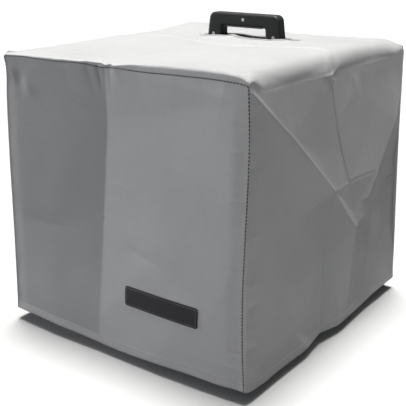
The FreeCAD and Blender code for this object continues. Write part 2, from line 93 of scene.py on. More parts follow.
class Field:
    """An offset in mm over a flat patch, with facets, fold lines, dents and noise."""

    def __init__(self, a0, a1, b0, b1, step=1.5):
        self.a0, self.b0, self.step = a0, b0, step
        na, nb = int((a1 - a0) / step) + 2, int((b1 - b0) / step) + 2
        self.A, self.B = np.meshgrid(a0 + step * np.arange(na), b0 + step * np.arange(nb), indexing="ij")
        self.v = np.zeros((na, nb))
        self.wear_and_highlight = np.zeros((na, nb))

    def facets(self, nodes, folds):
        names = list(nodes)
        pts = [Vector(nodes[n][:2]) for n in names]
        val = {i: nodes[n][2] for i, n in enumerate(names)}
        edges = [(names.index(p), names.index(q)) for f in folds for p, q in zip(f, f[1:])]
        vs, _, faces, orig, _, _ = geometry.delaunay_2d_cdt(pts, edges, [], 0, 1e-4)
        value = [val[o[0]] if o else 0.0 for o in orig]
        out, hit = np.zeros_like(self.v), np.zeros(self.v.shape, bool)
        for f in faces:
            (x0, y0), (x1, y1), (x2, y2) = [tuple(vs[k]) for k in f]
            d = (y1 - y2) * (x0 - x2) + (x2 - x1) * (y0 - y2)
            if abs(d) < 1e-9:
                continue
            ia = max(0, int((min(x0, x1, x2) - self.a0) / self.step))
            ib = int((max(x0, x1, x2) - self.a0) / self.step) + 2
            ja = max(0, int((min(y0, y1, y2) - self.b0) / self.step))
            jb = int((max(y0, y1, y2) - self.b0) / self.step) + 2
            A, B = self.A[ia:ib, ja:jb], self.B[ia:ib, ja:jb]
            w0 = ((y1 - y2) * (A - x2) + (x2 - x1) * (B - y2)) / d
            w1 = ((y2 - y0) * (A - x2) + (x0 - x2) * (B - y2)) / d
            w2 = 1 - w0 - w1
            inside = (w0 > -1e-6) & (w1 > -1e-6) & (w2 > -1e-6)
            z = w0 * value[f[0]] + w1 * value[f[1]] + w2 * value[f[2]]
            out[ia:ib, ja:jb][inside] = z[inside]
            hit[ia:ib, ja:jb] |= inside
        while not hit.all() and hit.any():  # carry the rim outwards to fill the patch
            for ax in (0, 1):
                for s in (1, -1):
                    src, ok = np.roll(out, s, ax), np.roll(hit, s, ax)
                    edge = [slice(None)] * 2
                    edge[ax] = 0 if s == 1 else -1
                    ok[tuple(edge)] = False
                    new = ok & ~hit
                    out[new] = src[new]
                    hit |= new
        self.v += out

    def _near(self, line):
        best, along, total = np.full(self.v.shape, 1e9), np.zeros(self.v.shape), 0.0
        line = np.array(line, float)
        side = np.zeros(self.v.shape)
        for p, q in zip(line, line[1:]):
            d = q - p
            n = float(np.hypot(*d))
            t = np.clip(((self.A - p[0]) * d[0] + (self.B - p[1]) * d[1]) / n**2, 0, 1)
            ex, ey = self.A - p[0] - t * d[0], self.B - p[1] - t * d[1]
            r = np.hypot(ex, ey)
            new = r < best
            best = np.where(new, r, best)
            along = np.where(new, total + t * n, along)
            side = np.where(new, np.sign(d[0] * ey - d[1] * ex), side)
            total += n
        return best, along / total, side

    def line(self, line, amp, width, ends=(0.25, 0.25), wear_and_highlight=0.0, step=0.0):
        """A pressed fold: a narrow ridge (amp > 0) or valley. step lifts its left side softly."""
        r, t, side = self._near(line)
        fade = np.ones_like(r)
        if ends[0]:
            fade *= smooth(t / ends[0])
        if ends[1]:
            fade *= smooth((1 - t) / ends[1])
        self.v += amp * fade * np.exp(-((r / width) ** 1.3))
        if step:
            self.v += step * fade * side * np.exp(-r / 14.0) * np.clip(r / width, 0, 1)
        # a lighter line along the fold: partly wear on the crease, partly a painted highlight on its ridge
        self.wear_and_highlight = np.maximum(self.wear_and_highlight, wear_and_highlight * fade * np.exp(-((r / 1.1) ** 2)))

    def bump(self, a, b, ra, rb, amp, turn=0.0):
        c, s = math.cos(math.radians(turn)), math.sin(math.radians(turn))
        x, y = self.A - a, self.B - b
        u, v = (x * c + y * s) / ra, (-x * s + y * c) / rb
        self.v += amp * np.exp(-(u * u + v * v))

    def noise(self, scale, amp, seed, stretch=(1.0, 1.0)):
        self.v += amp * value_noise(self.A / stretch[0], self.B / stretch[1], scale, seed)

    def blur(self, mm):
        s = mm / self.step
        r = max(1, int(3 * s))
        k = np.exp(-0.5 * (np.arange(-r, r + 1) / s) ** 2)
        k /= k.sum()
        for ax in (0, 1):
            p = np.pad(self.v, [(r, r) if i == ax else (0, 0) for i in (0, 1)], mode="edge")
            n = self.v.shape[ax]
            self.v = sum(w * np.take(p, range(i, i + n), axis=ax) for i, w in enumerate(k))

    def _sample(self, g, a, b):
        u = np.clip((np.asarray(a, float) - self.a0) / self.step, 0, g.shape[0] - 1.001)
        v = np.clip((np.asarray(b, float) - self.b0) / self.step, 0, g.shape[1] - 1.001)
        u, v = np.broadcast_arrays(u, v)
        i, j = u.astype(int), v.astype(int)
        u, v = u - i, v - j
        return (g[i, j] * (1 - u) + g[i + 1, j] * u) * (1 - v) + (g[i, j + 1] * (1 - u) + g[i + 1, j + 1] * u) * v

    def at(self, a, b):
        return self._sample(self.v, a, b)

    def wear_and_highlight_at(self, a, b):
        return self._sample(self.wear_and_highlight, a, b)


# ------------------------------------------------------------------ fold and drape fields
# front panel: a = x, b = z, offset outwards (towards -Y)
front = Field(-256, 256, 10, 500)
front.facets(
    {
        "tl": (-250, 486, 1), "tr": (250, 486, 0), "bl": (-250, 20, 2), "br": (250, 20, 2),
        "c0": (-23, 486, -4.5), "c1": (-25, 402, -10.0), "c2": (-33, 277, -9.0), "c2b": (-36, 235, -7.0), "c3": (-38, 165, -4.0), "c4": (-42, 60, 4.0), "c5": (-43, 20, 6.0),
        "l0": (-238, 460, 1.0), "l1": (-236, 400, 1.5), "l2": (-236, 280, 2.0), "l3": (-236, 205, 2.0), "l4": (-240, 110, 2),
        "m2": (-140, 300, -2.0), "m3": (-150, 205, -0.5), "m4": (-150, 110, 4.0), "m5": (-140, 20, 8.0),
        "r0": (236, 460, 1.5), "r1": (232, 380, 2.2), "r2": (232, 240, 2.4), "r3": (240, 120, 2.4),
        "q2": (90, 300, -2.5), "q3": (70, 190, 0.5), "q4": (120, 90, 6.0), "q5": (80, 20, 8.0),
        "q8": (190, 130, 4.0), "q9": (170, 20, 6.0),
    },
    [["tl", "c0", "tr"], ["c0", "c1", "c2", "c2b", "c3", "c4", "c5"], ["l3", "m3", "c3"]],
)
front.blur(2.5)
front.noise(120, 1.1, 3, (1.0, 1.6))
front.noise(46, 0.35, 4, (1.0, 1.4))
front.line([(-23, 486), (-25, 402), (-33, 277), (-38, 165), (-41, 80)], -0.25, 2.0, (0.02, 0.5))
front.line([(-24, 300), (30, 296), (60, 299)], 0.7, 4.0, (0.1, 0.6))
front.line([(-5, 206), (50, 192), (110, 186)], -1.3, 11.0, (0.4, 0.5))
front.line([(-215, 210), (-150, 204), (-90, 212)], -1.6, 12.0, (0.3, 0.5))
front.bump(-212, 452, 16, 20, -3.2, 30)
front.bump(-196, 438, 10, 22, 1.6, 30)
for (pts, amp, wid) in [
    ([(-168, 484), (-160, 462), (-140, 440)], 0.7, 9.0), ([(-112, 484), (-104, 458), (-84, 425)], -0.7, 10.0), ([(-60, 483), (-50, 450), (-32, 420)], -0.9, 7.0),
    ([(-38, 482), (-33, 458), (-30, 430)], -1.6, 5.0), ([(-14, 483), (-12, 462), (-18, 430)], -1.2, 5.0), ([(-4, 484), (6, 462), (24, 440)], 1.0, 6.0),
    ([(40, 484), (52, 452), (50, 410)], -0.7, 11.0), ([(112, 484), (104, 450), (112, 410)], 0.6, 12.0), ([(165, 484), (170, 455), (160, 425)], -0.6, 10.0), ([(205, 484), (196, 450), (200, 400)], 0.7, 9.0),
]:
    front.line(pts, amp, wid, (0.0, 0.8))
for i, z in enumerate([452, 425, 391, 356, 318, 287, 250, 214, 181, 150, 118, 84, 56]):
    s = 26 + 17 * ((i * 7) % 5) / 4
    front.line([(243, z), (243 - s, z + 5 - 4 * (i % 3))], 1.2 * (-1) ** i, 3.2, (0.0, 0.9))
    front.line([(-243, z - 9), (-243 + s, z - 12 + 5 * (i % 3))], -0.8 * (-1) ** i, 4.5, (0.0, 0.9))

# right face of the wrap: a = y, b = z, offset outwards (towards +X)
right = Field(-272, 272, 4, 502)
right.facets(
    {
        "f0": (-266, 496, 0), "f1": (-266, 250, 0), "f2": (-270, 10, 2),
        "b0": (266, 496, -3), "b1": (268, 300, -6), "b2": (270, 150, -7), "b3": (272, 10, 2),
        "t1": (-110, 500, 2), "t2": (-30, 500, 0), "t3": (58, 500, 2), "t4": (150, 500, 1),
        "v0": (-240, 474, -1.5), "v1": (-150, 471, -3.4), "v2": (-92, 474, -3.0), "v3": (-40, 482, -2.0), "m0": (-27, 466, -1.5),
        "v4": (-11, 470, -2.6), "v5": (58, 471, -3.4), "v6": (134, 475, -3.0), "v7": (227, 468, -2.0),
        "m1": (-6, 392, 1.0), "m2": (15, 340, 2.0), "m3": (46, 276, 3.2), "m4": (60, 223, 1.8), "m5": (82, 188, 5.0),
        "d0": (-257, 479, 0), "d1": (-186, 425, 0.8), "d2": (-134, 385, 2.0), "n": (-3, 273, 6.0),
        "r0": (151, 272, 7.0), "s0": (258, 420, 0.0), "s1": (219, 352, 6.5), "s4": (66, 91, 4.5), "s5": (52, 10, 5.0),
        "w1": (-21, 250, 4.2), "w2": (-32, 152, -1.0), "w3": (-29, 10, -2.5),
        "k1": (148, 176, 1.6), "k2": (143, 121, 0.6), "k3": (134, 10, 1.5),
        "g1": (205, 200, -7.5), "g2": (215, 100, -6.5), "g3": (112, 150, -0.8), "g4": (103, 60, -0.2),
        "e1": (-205, 250, 1.5), "e2": (-150, 150, 3.5), "e3": (-120, 60, 4.5), "e4": (-225, 60, 4.0), "e5": (-75, 10, 3.5),
        "e6": (28, 10, 4.5), "e7": (90, 10, 3.0), "e8": (200, 10, 3.0), "e9": (-100, 260, 4.0), "e10": (20, 120, 2.0),
        "u1": (-80, 435, -0.2), "u2": (-70, 350, 2.0), "u3": (80, 430, -0.4), "u4": (140, 395, 0.8), "u5": (205, 440, -0.8), "u6": (110, 335, 2.0),
    },
    [
        ["m0", "m1", "m2", "m3", "m4", "m5"], ["d0", "d1", "d2", "n", "m5"], ["n", "m3", "r0"],
        ["s0", "s1", "r0", "m5", "s4", "s5"], ["n", "w1", "w2", "w3"], ["r0", "k1", "k2", "k3"],
        ["d0", "v0", "v1", "v2", "v3", "m0", "v4", "v5", "v6", "v7"],
    ],
)
right.blur(1.6)
right.noise(110, 0.9, 11, (1.0, 1.4))
right.noise(40, 0.3, 12, (1.0, 1.5))
right.line([(-257, 479), (-186, 425), (-134, 385), (-3, 273)], 0.5, 1.3, (0.0, 0.0), wear_and_highlight=0.6)
right.line([(-27, 466), (-6, 392), (15, 340), (46, 276)], -0.66, 1.7, (0.0, 0.0), step=0.6)
right.line([(15, 340), (46, 276), (60, 223), (82, 188)], 0.50, 1.7, (0.3, 0.0), wear_and_highlight=0.25)
right.line([(-3, 273), (46, 276)], 0.6, 1.6, (0.0, 0.1), wear_and_highlight=0.4)
right.line([(46, 276), (100, 276), (151, 272)], -0.72, 1.7, (0.0, 0.1))
right.line([(-3, 273), (40, 230), (82, 188)], -0.50, 1.7, (0.0, 0.1))
right.line([(-3, 273), (-21, 250), (-32, 152), (-29, 14)], -0.83, 1.8, (0.0, 0.0), step=-0.5)
right.line([(256, 420), (219, 352), (152, 267), (82, 188)], 0.72, 1.8, (0.05, 0.0), wear_and_highlight=0.25)
right.line([(82, 188), (66, 91), (52, 14)], 0.55, 1.8, (0.0, 0.5))
right.line([(151, 272), (148, 176), (143, 121), (134, 30)], 0.4, 2.5, (0.0, 0.4))
for (y, z, dy, dz, a) in [(-27, 466, 22, -14, 1.3), (-27, 466, 40, -6, -1.1), (-27, 466, 34, 12, 1.2), (-27, 466, -20, -22, -0.9), (-27, 466, -34, 2, 0.9), (-27, 466, 6, -30, 1.0)]:
    right.line([(y, z), (y + dy, z + dz)], a * 1.3, 3.0, (0.0, 0.9), wear_and_highlight=0.3)
for (y, z0, z1, a) in [(60, 462, 400, 0.8), (82, 458, 392, -0.9), (104, 460, 410, 0.7), (170, 455, 400, -0.7), (-60, 462, 420, 0.5)]:
    right.line([(y, z0), (y + 6, (z0 + z1) / 2), (y + 4, z1)], a, 6.0, (0.3, 0.8))
for i, z in enumerate([440, 402, 366, 331, 296, 262, 228, 190, 156, 121, 90, 58]):
    right.line([(-262, z), (-232 + 6 * (i % 3), z + 4)], 0.7 * (-1) ** i, 4.5, (0.0, 0.9))
    right.line([(262, z), (230 - 6 * (i % 3), z - 4)], 0.5 * (-1) ** i, 5.0, (0.0, 0.9))

# left face, not shown in the photograph: the same kinds of folds, laid out differently
left = Field(-272, 272, 4, 502, 2.0)
left.facets(
    {
        "f0": (-266, 496, 0), "f1": (-268, 250, 0), "f2": (-270, 10, 2), "b0": (266, 496, 0), "b1": (268, 250, -2), "b2": (272, 10, 3),
        "t1": (-100, 500, 1), "t2": (60, 500, 2), "n": (30, 262, 7), "a1": (-140, 380, 2), "a2": (190, 370, 3), "a3": (20, 400, 2.5),
        "w1": (40, 150, 2), "w2": (36, 10, 6), "p1": (-160, 180, 3), "p2": (-150, 60, 5), "p3": (170, 180, -1), "p4": (180, 60, 4), "p5": (-60, 10, 8), "p6": (120, 10, 6),
        "p7": (-100, 290, 3.5), "p8": (120, 280, 3),
    },
    [["f0", "a1", "n", "a2", "b0"], ["a3", "n", "w1", "w2"]],
)
left.blur(4.0)
left.noise(110, 1.3, 21)
left.noise(42, 0.4, 22)
left.line([(-262, 480), (-140, 380), (30, 262)], 1.3, 4.0, (0.05, 0.0), wear_and_highlight=0.8)
left.line([(30, 262), (190, 370), (262, 450)], -1.2, 4.0, (0.0, 0.3), wear_and_highlight=0.3)
left.line([(18, 480), (20, 400), (30, 262), (40, 150), (36, 14)], 1.0, 4.0, (0.1, 0.3), wear_and_highlight=0.4)

# back panel, not shown either: a = x, b = z, offset outwards (towards +Y)
back = Field(-256, 256, 4, 502, 2.0)
back.facets(
    {
        "tl": (-250, 490, 0), "tr": (250, 490, 0), "bl": (-250, 18, 0), "br": (250, 18, 0), "c0": (20, 490, 1), "c1": (16, 380, 7), "c2": (24, 260, 9), "c3": (30, 120, 8), "c4": (30, 18, 8),
        "m1": (-130, 420, 1), "m2": (-140, 260, 3), "m3": (-130, 120, 4), "m4": (-130, 18, 9), "r1": (140, 420, 2), "r2": (140, 260, 3), "r3": (150, 120, 3), "r4": (140, 18, 7),
    },
    [["tl", "c0", "tr"], ["c0", "c1", "c2", "c3", "c4"]],
)
back.blur(4.0)
back.noise(120, 1.2, 31)
back.noise(44, 0.4, 32)
back.line([(20, 486), (16, 380), (24, 260), (30, 120)], 1.0, 4.0, (0.02, 0.5), wear_and_highlight=0.6)
back.line([(-240, 300), (-110, 262), (24, 260)], -1.1, 5.0, (0.2, 0.1), wear_and_highlight=0.2)
for i, x in enumerate([-200, -160, -110, -70, -20, 60, 110, 150, 200]):
    back.line([(x, 484), (x + 5 - 4 * (i % 3), 420 + 12 * (i % 2))], 0.9 * (-1) ** i, 7.0, (0.0, 0.8))

# top: a = x, b = y, height over the flat top
top = Field(-256, 256, -268, 268)
LIP_F, LIP_B = SLIT_Y - 15.0, SLIT_Y + 15.0
T = {
    "fl": (-246, -260, -8), "f1": (-200, -260, -7), "f2": (-130, -260, -6.5), "f3": (-50, -260, -6), "b0": (-28, -260, -8), "f5": (0, -260, -7), "f6": (36, -260, -2),
    "f7": (92, -260, 2.0), "f8": (146, -260, 3.5), "f9": (200, -260, 4.5), "f10": (224, -260, 2.5), "fr": (246, -260, -9),
    "r1": (246, -232, -1), "r2": (246, -180, 5), "r3": (246, -106, 6), "r4": (246, -30, 4), "r5": (246, 18, 5.5), "r6": (246, 84, 5.5), "r7": (246, 160, 3), "r8": (246, 210, -2), "br": (244, 260, -16),
    "l1": (-246, -199, -10), "l2": (-246, -124, -6), "l3": (-246, -40, -5), "l4": (-246, 39, -4), "l5": (-246, 66, -8), "l6": (-246, 92, -10), "l7": (-246, 145, -6), "l8": (-246, 205, -1), "bl": (-243, 260, 2.5),
    "k1": (-200, 260, 3), "k2": (-100, 260, 0), "k3": (-6, 260, -3.5), "k4": (16, 260, -5), "k5": (70, 260, -4.5), "k6": (130, 260, -3), "k7": (206, 260, -2),
    "a0": (-208, 20, -2.5), "a1": (-110, 18, 3.0), "a2": (-55, 15, 0.5), "a3": (-12, 12, -2.5), "a4": (32, 10, -2.5), "a5": (96, 8, 1.0), "a6": (172, 5, 5.5), "a7": (208, -6, 7.0),
    "b1": (-26, -190, -3.5), "b2": (-25, -125, -3.0), "b3": (-25, -50, -1.5),
    "i1": (-130, -130, -3.5), "i2": (-150, -55, -2.0), "i3": (60, -150, 0.0), "i4": (130, -130, 3.5), "i5": (205, -150, 6.5), "i6": (100, -60, 2.5), "i7": (186, -60, 6.5), "i8": (-200, -120, -4),
    "p0": (-98, LIP_F, 0.4), "p1": (-74, LIP_F, 2.6), "p2": (-54, LIP_F, 2.8), "p3": (-31, LIP_F, 3.6), "p4": (-15, LIP_F, 7.2), "p5": (-4, LIP_F, 3.6), "p6": (8, LIP_F, 2.4),
    "p7": (27, LIP_F, 1.4), "p8": (46, LIP_F, 1.2), "p9": (76, LIP_F, 2.8), "p10": (93, LIP_F, 3.2), "p11": (108, LIP_F + 15, 2.0),
    "t1": (-98, LIP_B, -0.6), "t2": (-52, LIP_B, 3.4), "t3": (-33, LIP_B, 4.8), "t4": (-13, LIP_B, 4.6), "t5": (7, LIP_B, 2.4), "t6": (30, LIP_B, 1.4), "t7": (77, LIP_B, 2.0), "t8": (100, LIP_B, 1.0),
    "u1": (-70, 62, -0.2), "u2": (-38, 60, 0.8), "u3": (-10, 58, 1.6), "u4": (22, 60, 0.0), "u5": (60, 60, 0.6), "u6": (-40, 150, 1.0), "u7": (40, 150, 0.0),
    "j1": (-150, 160, -0.5), "j2": (0, 180, -2.5), "j3": (150, 170, 1.0), "j4": (200, 80, 5.0), "j5": (-180, 90, -4.0), "j6": (200, 215, 0.5),
}
top.facets(T, [["p0", "p1", "p2", "p3", "p4", "p5", "p6", "p7", "p8", "p9", "p10", "p11"], ["u3", "p4"], ["l4", "a0", "a1", "a2", "a3", "a4", "a5", "a6", "a7"], ["b0", "b1", "b2", "b3", "a3"]])
top.blur(3.0)
top.noise(90, 0.7, 41)
top.noise(34, 0.4, 42)
top.noise(15, 0.12, 43)
top.line([(-240, 22), (-208, 20), (-110, 18), (-55, 15), (-12, 12), (32, 10), (96, 8), (172, 5)], 1.7, 1.8, (0.0, 0.0), wear_and_highlight=0.3)
top.line([(-28, -258), (-26, -190), (-25, -125), (-25, -50)], 1.3, 1.9, (0.0, 0.3), wear_and_highlight=0.2)
top.line([(165, 5), (208, -5), (236, -14)], 2.6, 4.5, (0.3, 0.0), wear_and_highlight=0.6)
top.line([(186, 14), (216, 6), (244, -2)], -1.9, 5.0, (0.3, 0.0))
top.line([(184, -12), (214, -22), (244, -30)], -1.9, 5.0, (0.3, 0.0))
top.line([(196, -30), (222, -38), (244, -44)], 1.4, 4.5, (0.3, 0.0), wear_and_highlight=0.2)
top.line([(-28, -258), (-44, -238), (-52, -214)], 1.54, 2.4, (0.0, 0.6), wear_and_highlight=0.3)
top.line([(-14, -258), (-2, -240), (16, -226)], 1.54, 2.4, (0.0, 0.7), wear_and_highlight=0.3)
top.line([(-21, -258), (-16, -240)], -1.40, 2.4, (0.0, 0.6))
for (x, y, dx, dy, a, w) in [
    (-15, 86, -50, -30, 1.3, 4.0), (-15, 86, -20, -40, -1.3, 4.0), (-15, 86, 8, -38, 1.2, 3.5), (-15, 86, 40, -26, -1.1, 4.0), (-72, 88, -30, -26, -0.9, 5.0), (60, 86, 10, -34, -1.4, 8.0),
    (88, 88, 40, -16, 1.0, 5.0), (-98, 103, -46, 8, 1.2, 4.0), (108, 103, 46, 6, 1.2, 4.0), (-50, 120, -30, 24, 1.0, 5.0), (30, 120, 30, 26, 1.0, 5.0),
]:
    top.line([(x, y), (x + dx, y + dy)], a, w, (0.0, 0.8), wear_and_highlight=0.1)
top.bump(-178, 262, 26, 8, 3.2)
top.bump(150, 262, 34, 8, 2.0)
# the hopper's floor lies just under the cover, so the fabric can't sink there
over = np.maximum(np.maximum(np.abs(top.A) - 225.0, np.abs(top.B) - 236.0), 0)
floor_z = -4.2 - over * 0.28
gap_ = top.v - floor_z
top.v = floor_z + 0.5 * (gap_ + np.sqrt(gap_**2 + 1.5))


# ------------------------------------------------------------------ seam lines shared by the panels
def seam_right_x(z):
    return hx(z) - 2.5 + curve(z, [(20, 0), (24, 0), (80, -3.0), (140, -4.2), (187, -4.0), (240, -2.2), (285, -0.6), (357, 2.2), (400, 2.8), (438, 2.4), (470, 1.0), (486, 0.5)])


def seam_left_x(z):
    return hx(z) - 2.0 + curve(z, [(20, 0.5), (120, 0), (203, 0.5), (338, 1.6), (420, 0.2), (458, -1.8), (474, 0.5), (486, 5.0)])


def seam_front_z(x):
    return curve(x, [(-250, 481.5), (-217, 484.4), (-130, 483.5), (-60, 485.0), (-28, 482.6), (-2, 484.3), (33, 483.2), (132, 485.2), (210, 485.6), (232, 484.2), (246, 482.0)])


def hem_front_z(x):
    return curve(x, [(-252, 21.5), (-210, 23), (-141, 21.4), (-69, 19.0), (-18, 16.5), (13, 16.5), (78, 19), (155, 21.4), (204, 21), (237, 22.5), (252, 21.5)])


def hem_right_z(y):
    return curve(y, [(-268, 21.5), (-229, 18), (-208, 17), (-187, 18.0), (-118, 17.0), (-72, 18.0), (-46, 20), (-33, 21.5), (0, 19), (28, 17), (48, 18), (90, 17), (125, 17.5), (138, 18), (167, 21), (225, 22.5), (268, 22)])


def hem_left_z(y):
    return curve(y, [(-268, 21.5), (-200, 20), (-120, 17), (-40, 21), (36, 17.5), (120, 20), (200, 17.5), (268, 21)])


def hem_back_z(x):
    return curve(x, [(-252, 21), (-180, 18.5), (-100, 20.5), (-20, 17), (60, 20), (150, 17.5), (252, 22)])


def edge_out(z, at_hem):
    """How far a back vertical edge stands out towards +Y."""
    return at_hem * (1 - smooth((z - 24) / 300.0))


def yf(x, z):
    e = np.minimum(np.abs(np.asarray(x, float) - seam_right_x(z)), np.abs(np.asarray(x, float) + seam_left_x(z)))
    return -(hy(z) + front.at(x, z) * smooth(e / 34.0 + 0.1) )


def yb(x, z):
    e = hx(z) - np.abs(np.asarray(x, float))
    return hy(z) + back.at(x, z) * smooth(e / 24.0 + 0.1) + np.where(np.asarray(x) > 0, edge_out(z, 9.0), edge_out(z, 3.0)) * smooth(np.abs(x) / 240.0)


def front_point(a, b):
    """Front panel: a from its left seam (0) to its right seam (1), b from the hem (0) to the top seam (1)."""
    a, b = np.broadcast_arrays(np.asarray(a, float), np.asarray(b, float))
    x = -246 + 490 * a
    for _ in range(3):
        z0, z1 = hem_front_z(x), seam_front_z(x)
        z = z0 + b * (z1 - z0)
        x = -seam_left_x(z) + a * (seam_right_x(z) + seam_left_x(z))
    return np.stack([x, yf(x, z), z], -1)


def seam_back_z(x):
    return curve(x, [(-250, 490), (-200, 489), (-100, 487), (-6, 485), (16, 484), (68, 484.5), (130, 485.5), (205, 485.5), (250, 474)])


def back_point(a, b):
    a, b = np.broadcast_arrays(np.asarray(a, float), np.asarray(b, float))
    x = -246 + 490 * a
    for _ in range(3):
        z0, z1 = hem_back_z(x), seam_back_z(x)
        z = z0 + b * (z1 - z0)
        x = (hx(z) - 2.5) * (2 * a - 1)
    return np.stack([x, yb(x, z), z], -1)


# ------------------------------------------------------------------ the wrap strip
R_RIGHT, R_LEFT = 24.0, 7.0
N_SIDE_R, N_ARC_R, N_TOP, N_ARC_L, N_SIDE_L = 280, 20, 250, 8, 120
# rows of the strip: which zone, and how far along it
rows = [("R", t) for t in np.linspace(0, 1, N_SIDE_R, endpoint=False)]
rows += [("AR", t) for t in np.linspace(0, 1, N_ARC_R, endpoint=False)]
rows += [("T", t) for t in np.linspace(0, 1, N_TOP, endpoint=False)]
rows += [("AL", t) for t in np.linspace(0, 1, N_ARC_L, endpoint=False)]
rows += [("L", t) for t in np.linspace(0, 1, N_SIDE_L)]
zone = np.array([r[0] for r in rows])
t_row = np.array([r[1] for r in rows])

inner_y = np.concatenate([np.linspace(0, 1, 190)[:-1] * (SLIT_Y - 15 + 257) - 257, [SLIT_Y - 15.0, SLIT_Y + 15.0], (np.linspace(0, 1, 85)[1:]) * (257 - SLIT_Y - 15) + SLIT_Y + 15])
COL_F, COL_B = 189, 190  # the columns of the slit's two lips
roll = np.array([0.12, 0.26, 0.4, 0.54, 0.68, 0.8, 0.9, 1.0])  # quarter turn at each lengthways edge
band = np.array([0.2, 0.4, 0.6, 0.8, 1.0])


def ease(t, t0, t1):
    return smooth((t - t0) / (t1 - t0))


# length of the roll along Y at each row's edges, and how deep it turns in
roll_len = np.where(zone == "R", 24.0, np.where(zone == "L", 9.0, np.where(zone == "T", 6.0, np.nan)))
for name, a, b in (("AR", 10.0, 6.0), ("AL", 3.0, 9.0)):
    m = zone == name
    roll_len[m] = a + (b - a) * smooth(t_row[m])
roll_len = np.where(zone == "R", 24.0 - 14.0 * smooth((t_row - 0.84) / 0.14), roll_len)
x_row = np.where(zone == "T", 240.0 - 480.0 * t_row, 0.0)
roll_len = np.where(zone == "T", 3.0 + 3.0 * smooth((x_row + 40) / 120.0), roll_len)
roll_deep = np.where(zone == "T", 2.0 + 2.5 * smooth((x_row + 40) / 120.0), 4.0)



def strip(inner):
    """Points of the wrap at its inner columns, before the edges roll over. Returns points and outward normals of the base form."""
    near_f = np.clip((-inner - 120) / 137.0, 0, 1)[None, :] ** 1.5
    near_b = np.clip((inner - 150) / 107.0, 0, 1)[None, :] ** 1.5
    roll_b = np.where(zone == "R", 10.0, np.where(zone == "L", 9.0, 7.0))
    W = inner[None, :] + roll_len[:, None] * near_f - roll_b[:, None] * near_b
    zt = t_row[:, None]
    P = np.zeros((len(rows), len(inner), 3))
    N = np.zeros_like(P)
    edge = np.minimum(np.abs(W + 257), np.abs(W - 257))
    rr = np.where(W > 0, 17.0, 4.0) + (R_RIGHT - np.where(W > 0, 17.0, 4.0)) * smooth(edge / 46.0) + 0 * zt
    rl = 3.0 + (R_LEFT - 3.0) * smooth(edge / 30.0) + 0 * zt
    for name, rad, sgn in (("R", rr, 1), ("L", rl, -1)):
        m = zone == name
        w = W[m]
        t = zt[m] if sgn > 0 else 1 - zt[m]
        z_top = Z_TOP - rad[m]
        y0 = w * 1.0
        hem = (hem_right_z if sgn > 0 else hem_left_z)(y0 * 265 / 257)
        z = hem + t * (z_top - hem)
        y = w * hy(z) / 257.0
        y = y + np.where(w > 0, edge_out(z, 9.0 if sgn > 0 else 3.0) * smooth(w / 257.0), 0)
        d = (right if sgn > 0 else left).at(y, z)
        x = sgn * (hx(z) + d)
        P[m] = np.stack([x, y, z], -1)
        N[m] = np.array([sgn, 0, 0.013])
    for name, rad, sgn in (("AR", rr, 1), ("AL", rl, -1)):
        m = zone == name
        w = W[m]
        phi = (zt[m] if sgn > 0 else 1 - zt[m]) * math.pi / 2
        r = rad[m]
        xb, zb = 244.0 - r + r * np.cos(phi), Z_TOP - r + r * np.sin(phi)
        d_side = (right if sgn > 0 else left).at(w + 0 * phi, zb)
        d_top = top.at(sgn * xb, w + 0 * phi)
        P[m] = np.stack([sgn * (xb + d_side * np.cos(phi)), w + 0 * phi, zb + d_top * np.sin(phi)], -1)
        N[m] = np.stack([sgn * np.cos(phi) + 0 * w, 0 * phi + 0 * w, np.sin(phi) + 0 * w], -1)
    m = zone == "T"
    w = W[m]
    x0, x1 = 244.0 - rr[m], -(244.0 - rl[m])
    x = x0 + zt[m] * (x1 - x0)
    # the slit's lips bow apart round the handle
    half = 15.0 * smooth((x - SLIT_A) / 14.0) * smooth((SLIT_B - x) / 22.0)
    half = np.maximum(half, 0.4)
    near_f = np.clip(1 - np.abs(w - (SLIT_Y - 15)) / 70.0, 0, 1) * (w < SLIT_Y)
    near_b = np.clip(1 - np.abs(w - (SLIT_Y + 15)) / 70.0, 0, 1) * (w > SLIT_Y)
    y = w + (15 - half) * near_f - (15 - half) * near_b
    P[m] = np.stack([x, y, Z_TOP + top.at(x, y)], -1)
    N[m] = np.array([0, 0, 1.0])
    return P, N


def loop_front():
    """The front seam, one point for each row of the strip."""
    out = np.zeros((len(rows), 3))
    for name, sgn in (("R", 1), ("L", -1)):
        m = zone == name
        t = t_row[m] if sgn > 0 else 1 - t_row[m]
        x_edge = 248.0 * sgn
        z0, z1 = hem_front_z(x_edge), seam_front_z(244.0 * sgn) - 2.0
        z = z0 + t * (z1 - z0)
        x = seam_right_x(z) if sgn > 0 else -seam_left_x(z)
        out[m] = np.stack([x, yf(x, z), z], -1)
    for name, sgn in (("AR", 1), ("AL", -1)):
        m = zone == name
        t = t_row[m] if sgn > 0 else 1 - t_row[m]
        zc = seam_front_z(244.0 * sgn)
        xc = seam_right_x(zc) if sgn > 0 else seam_left_x(zc)
        x = xc - 2.0 * (1 - np.cos(t * math.pi / 2))
        z = zc - 2.0 + 2.0 * np.sin(t * math.pi / 2)
        out[m] = np.stack([sgn * x, yf(sgn * x, z), z], -1)
    m = zone == "T"
    xa, xb = seam_right_x(482.0) - 2.0, -(seam_left_x(482.0) - 2.0)
    x = xa + t_row[m] * (xb - xa)
    z = seam_front_z(x)
    out[m] = np.stack([x, yf(x, z), z], -1)
    return out


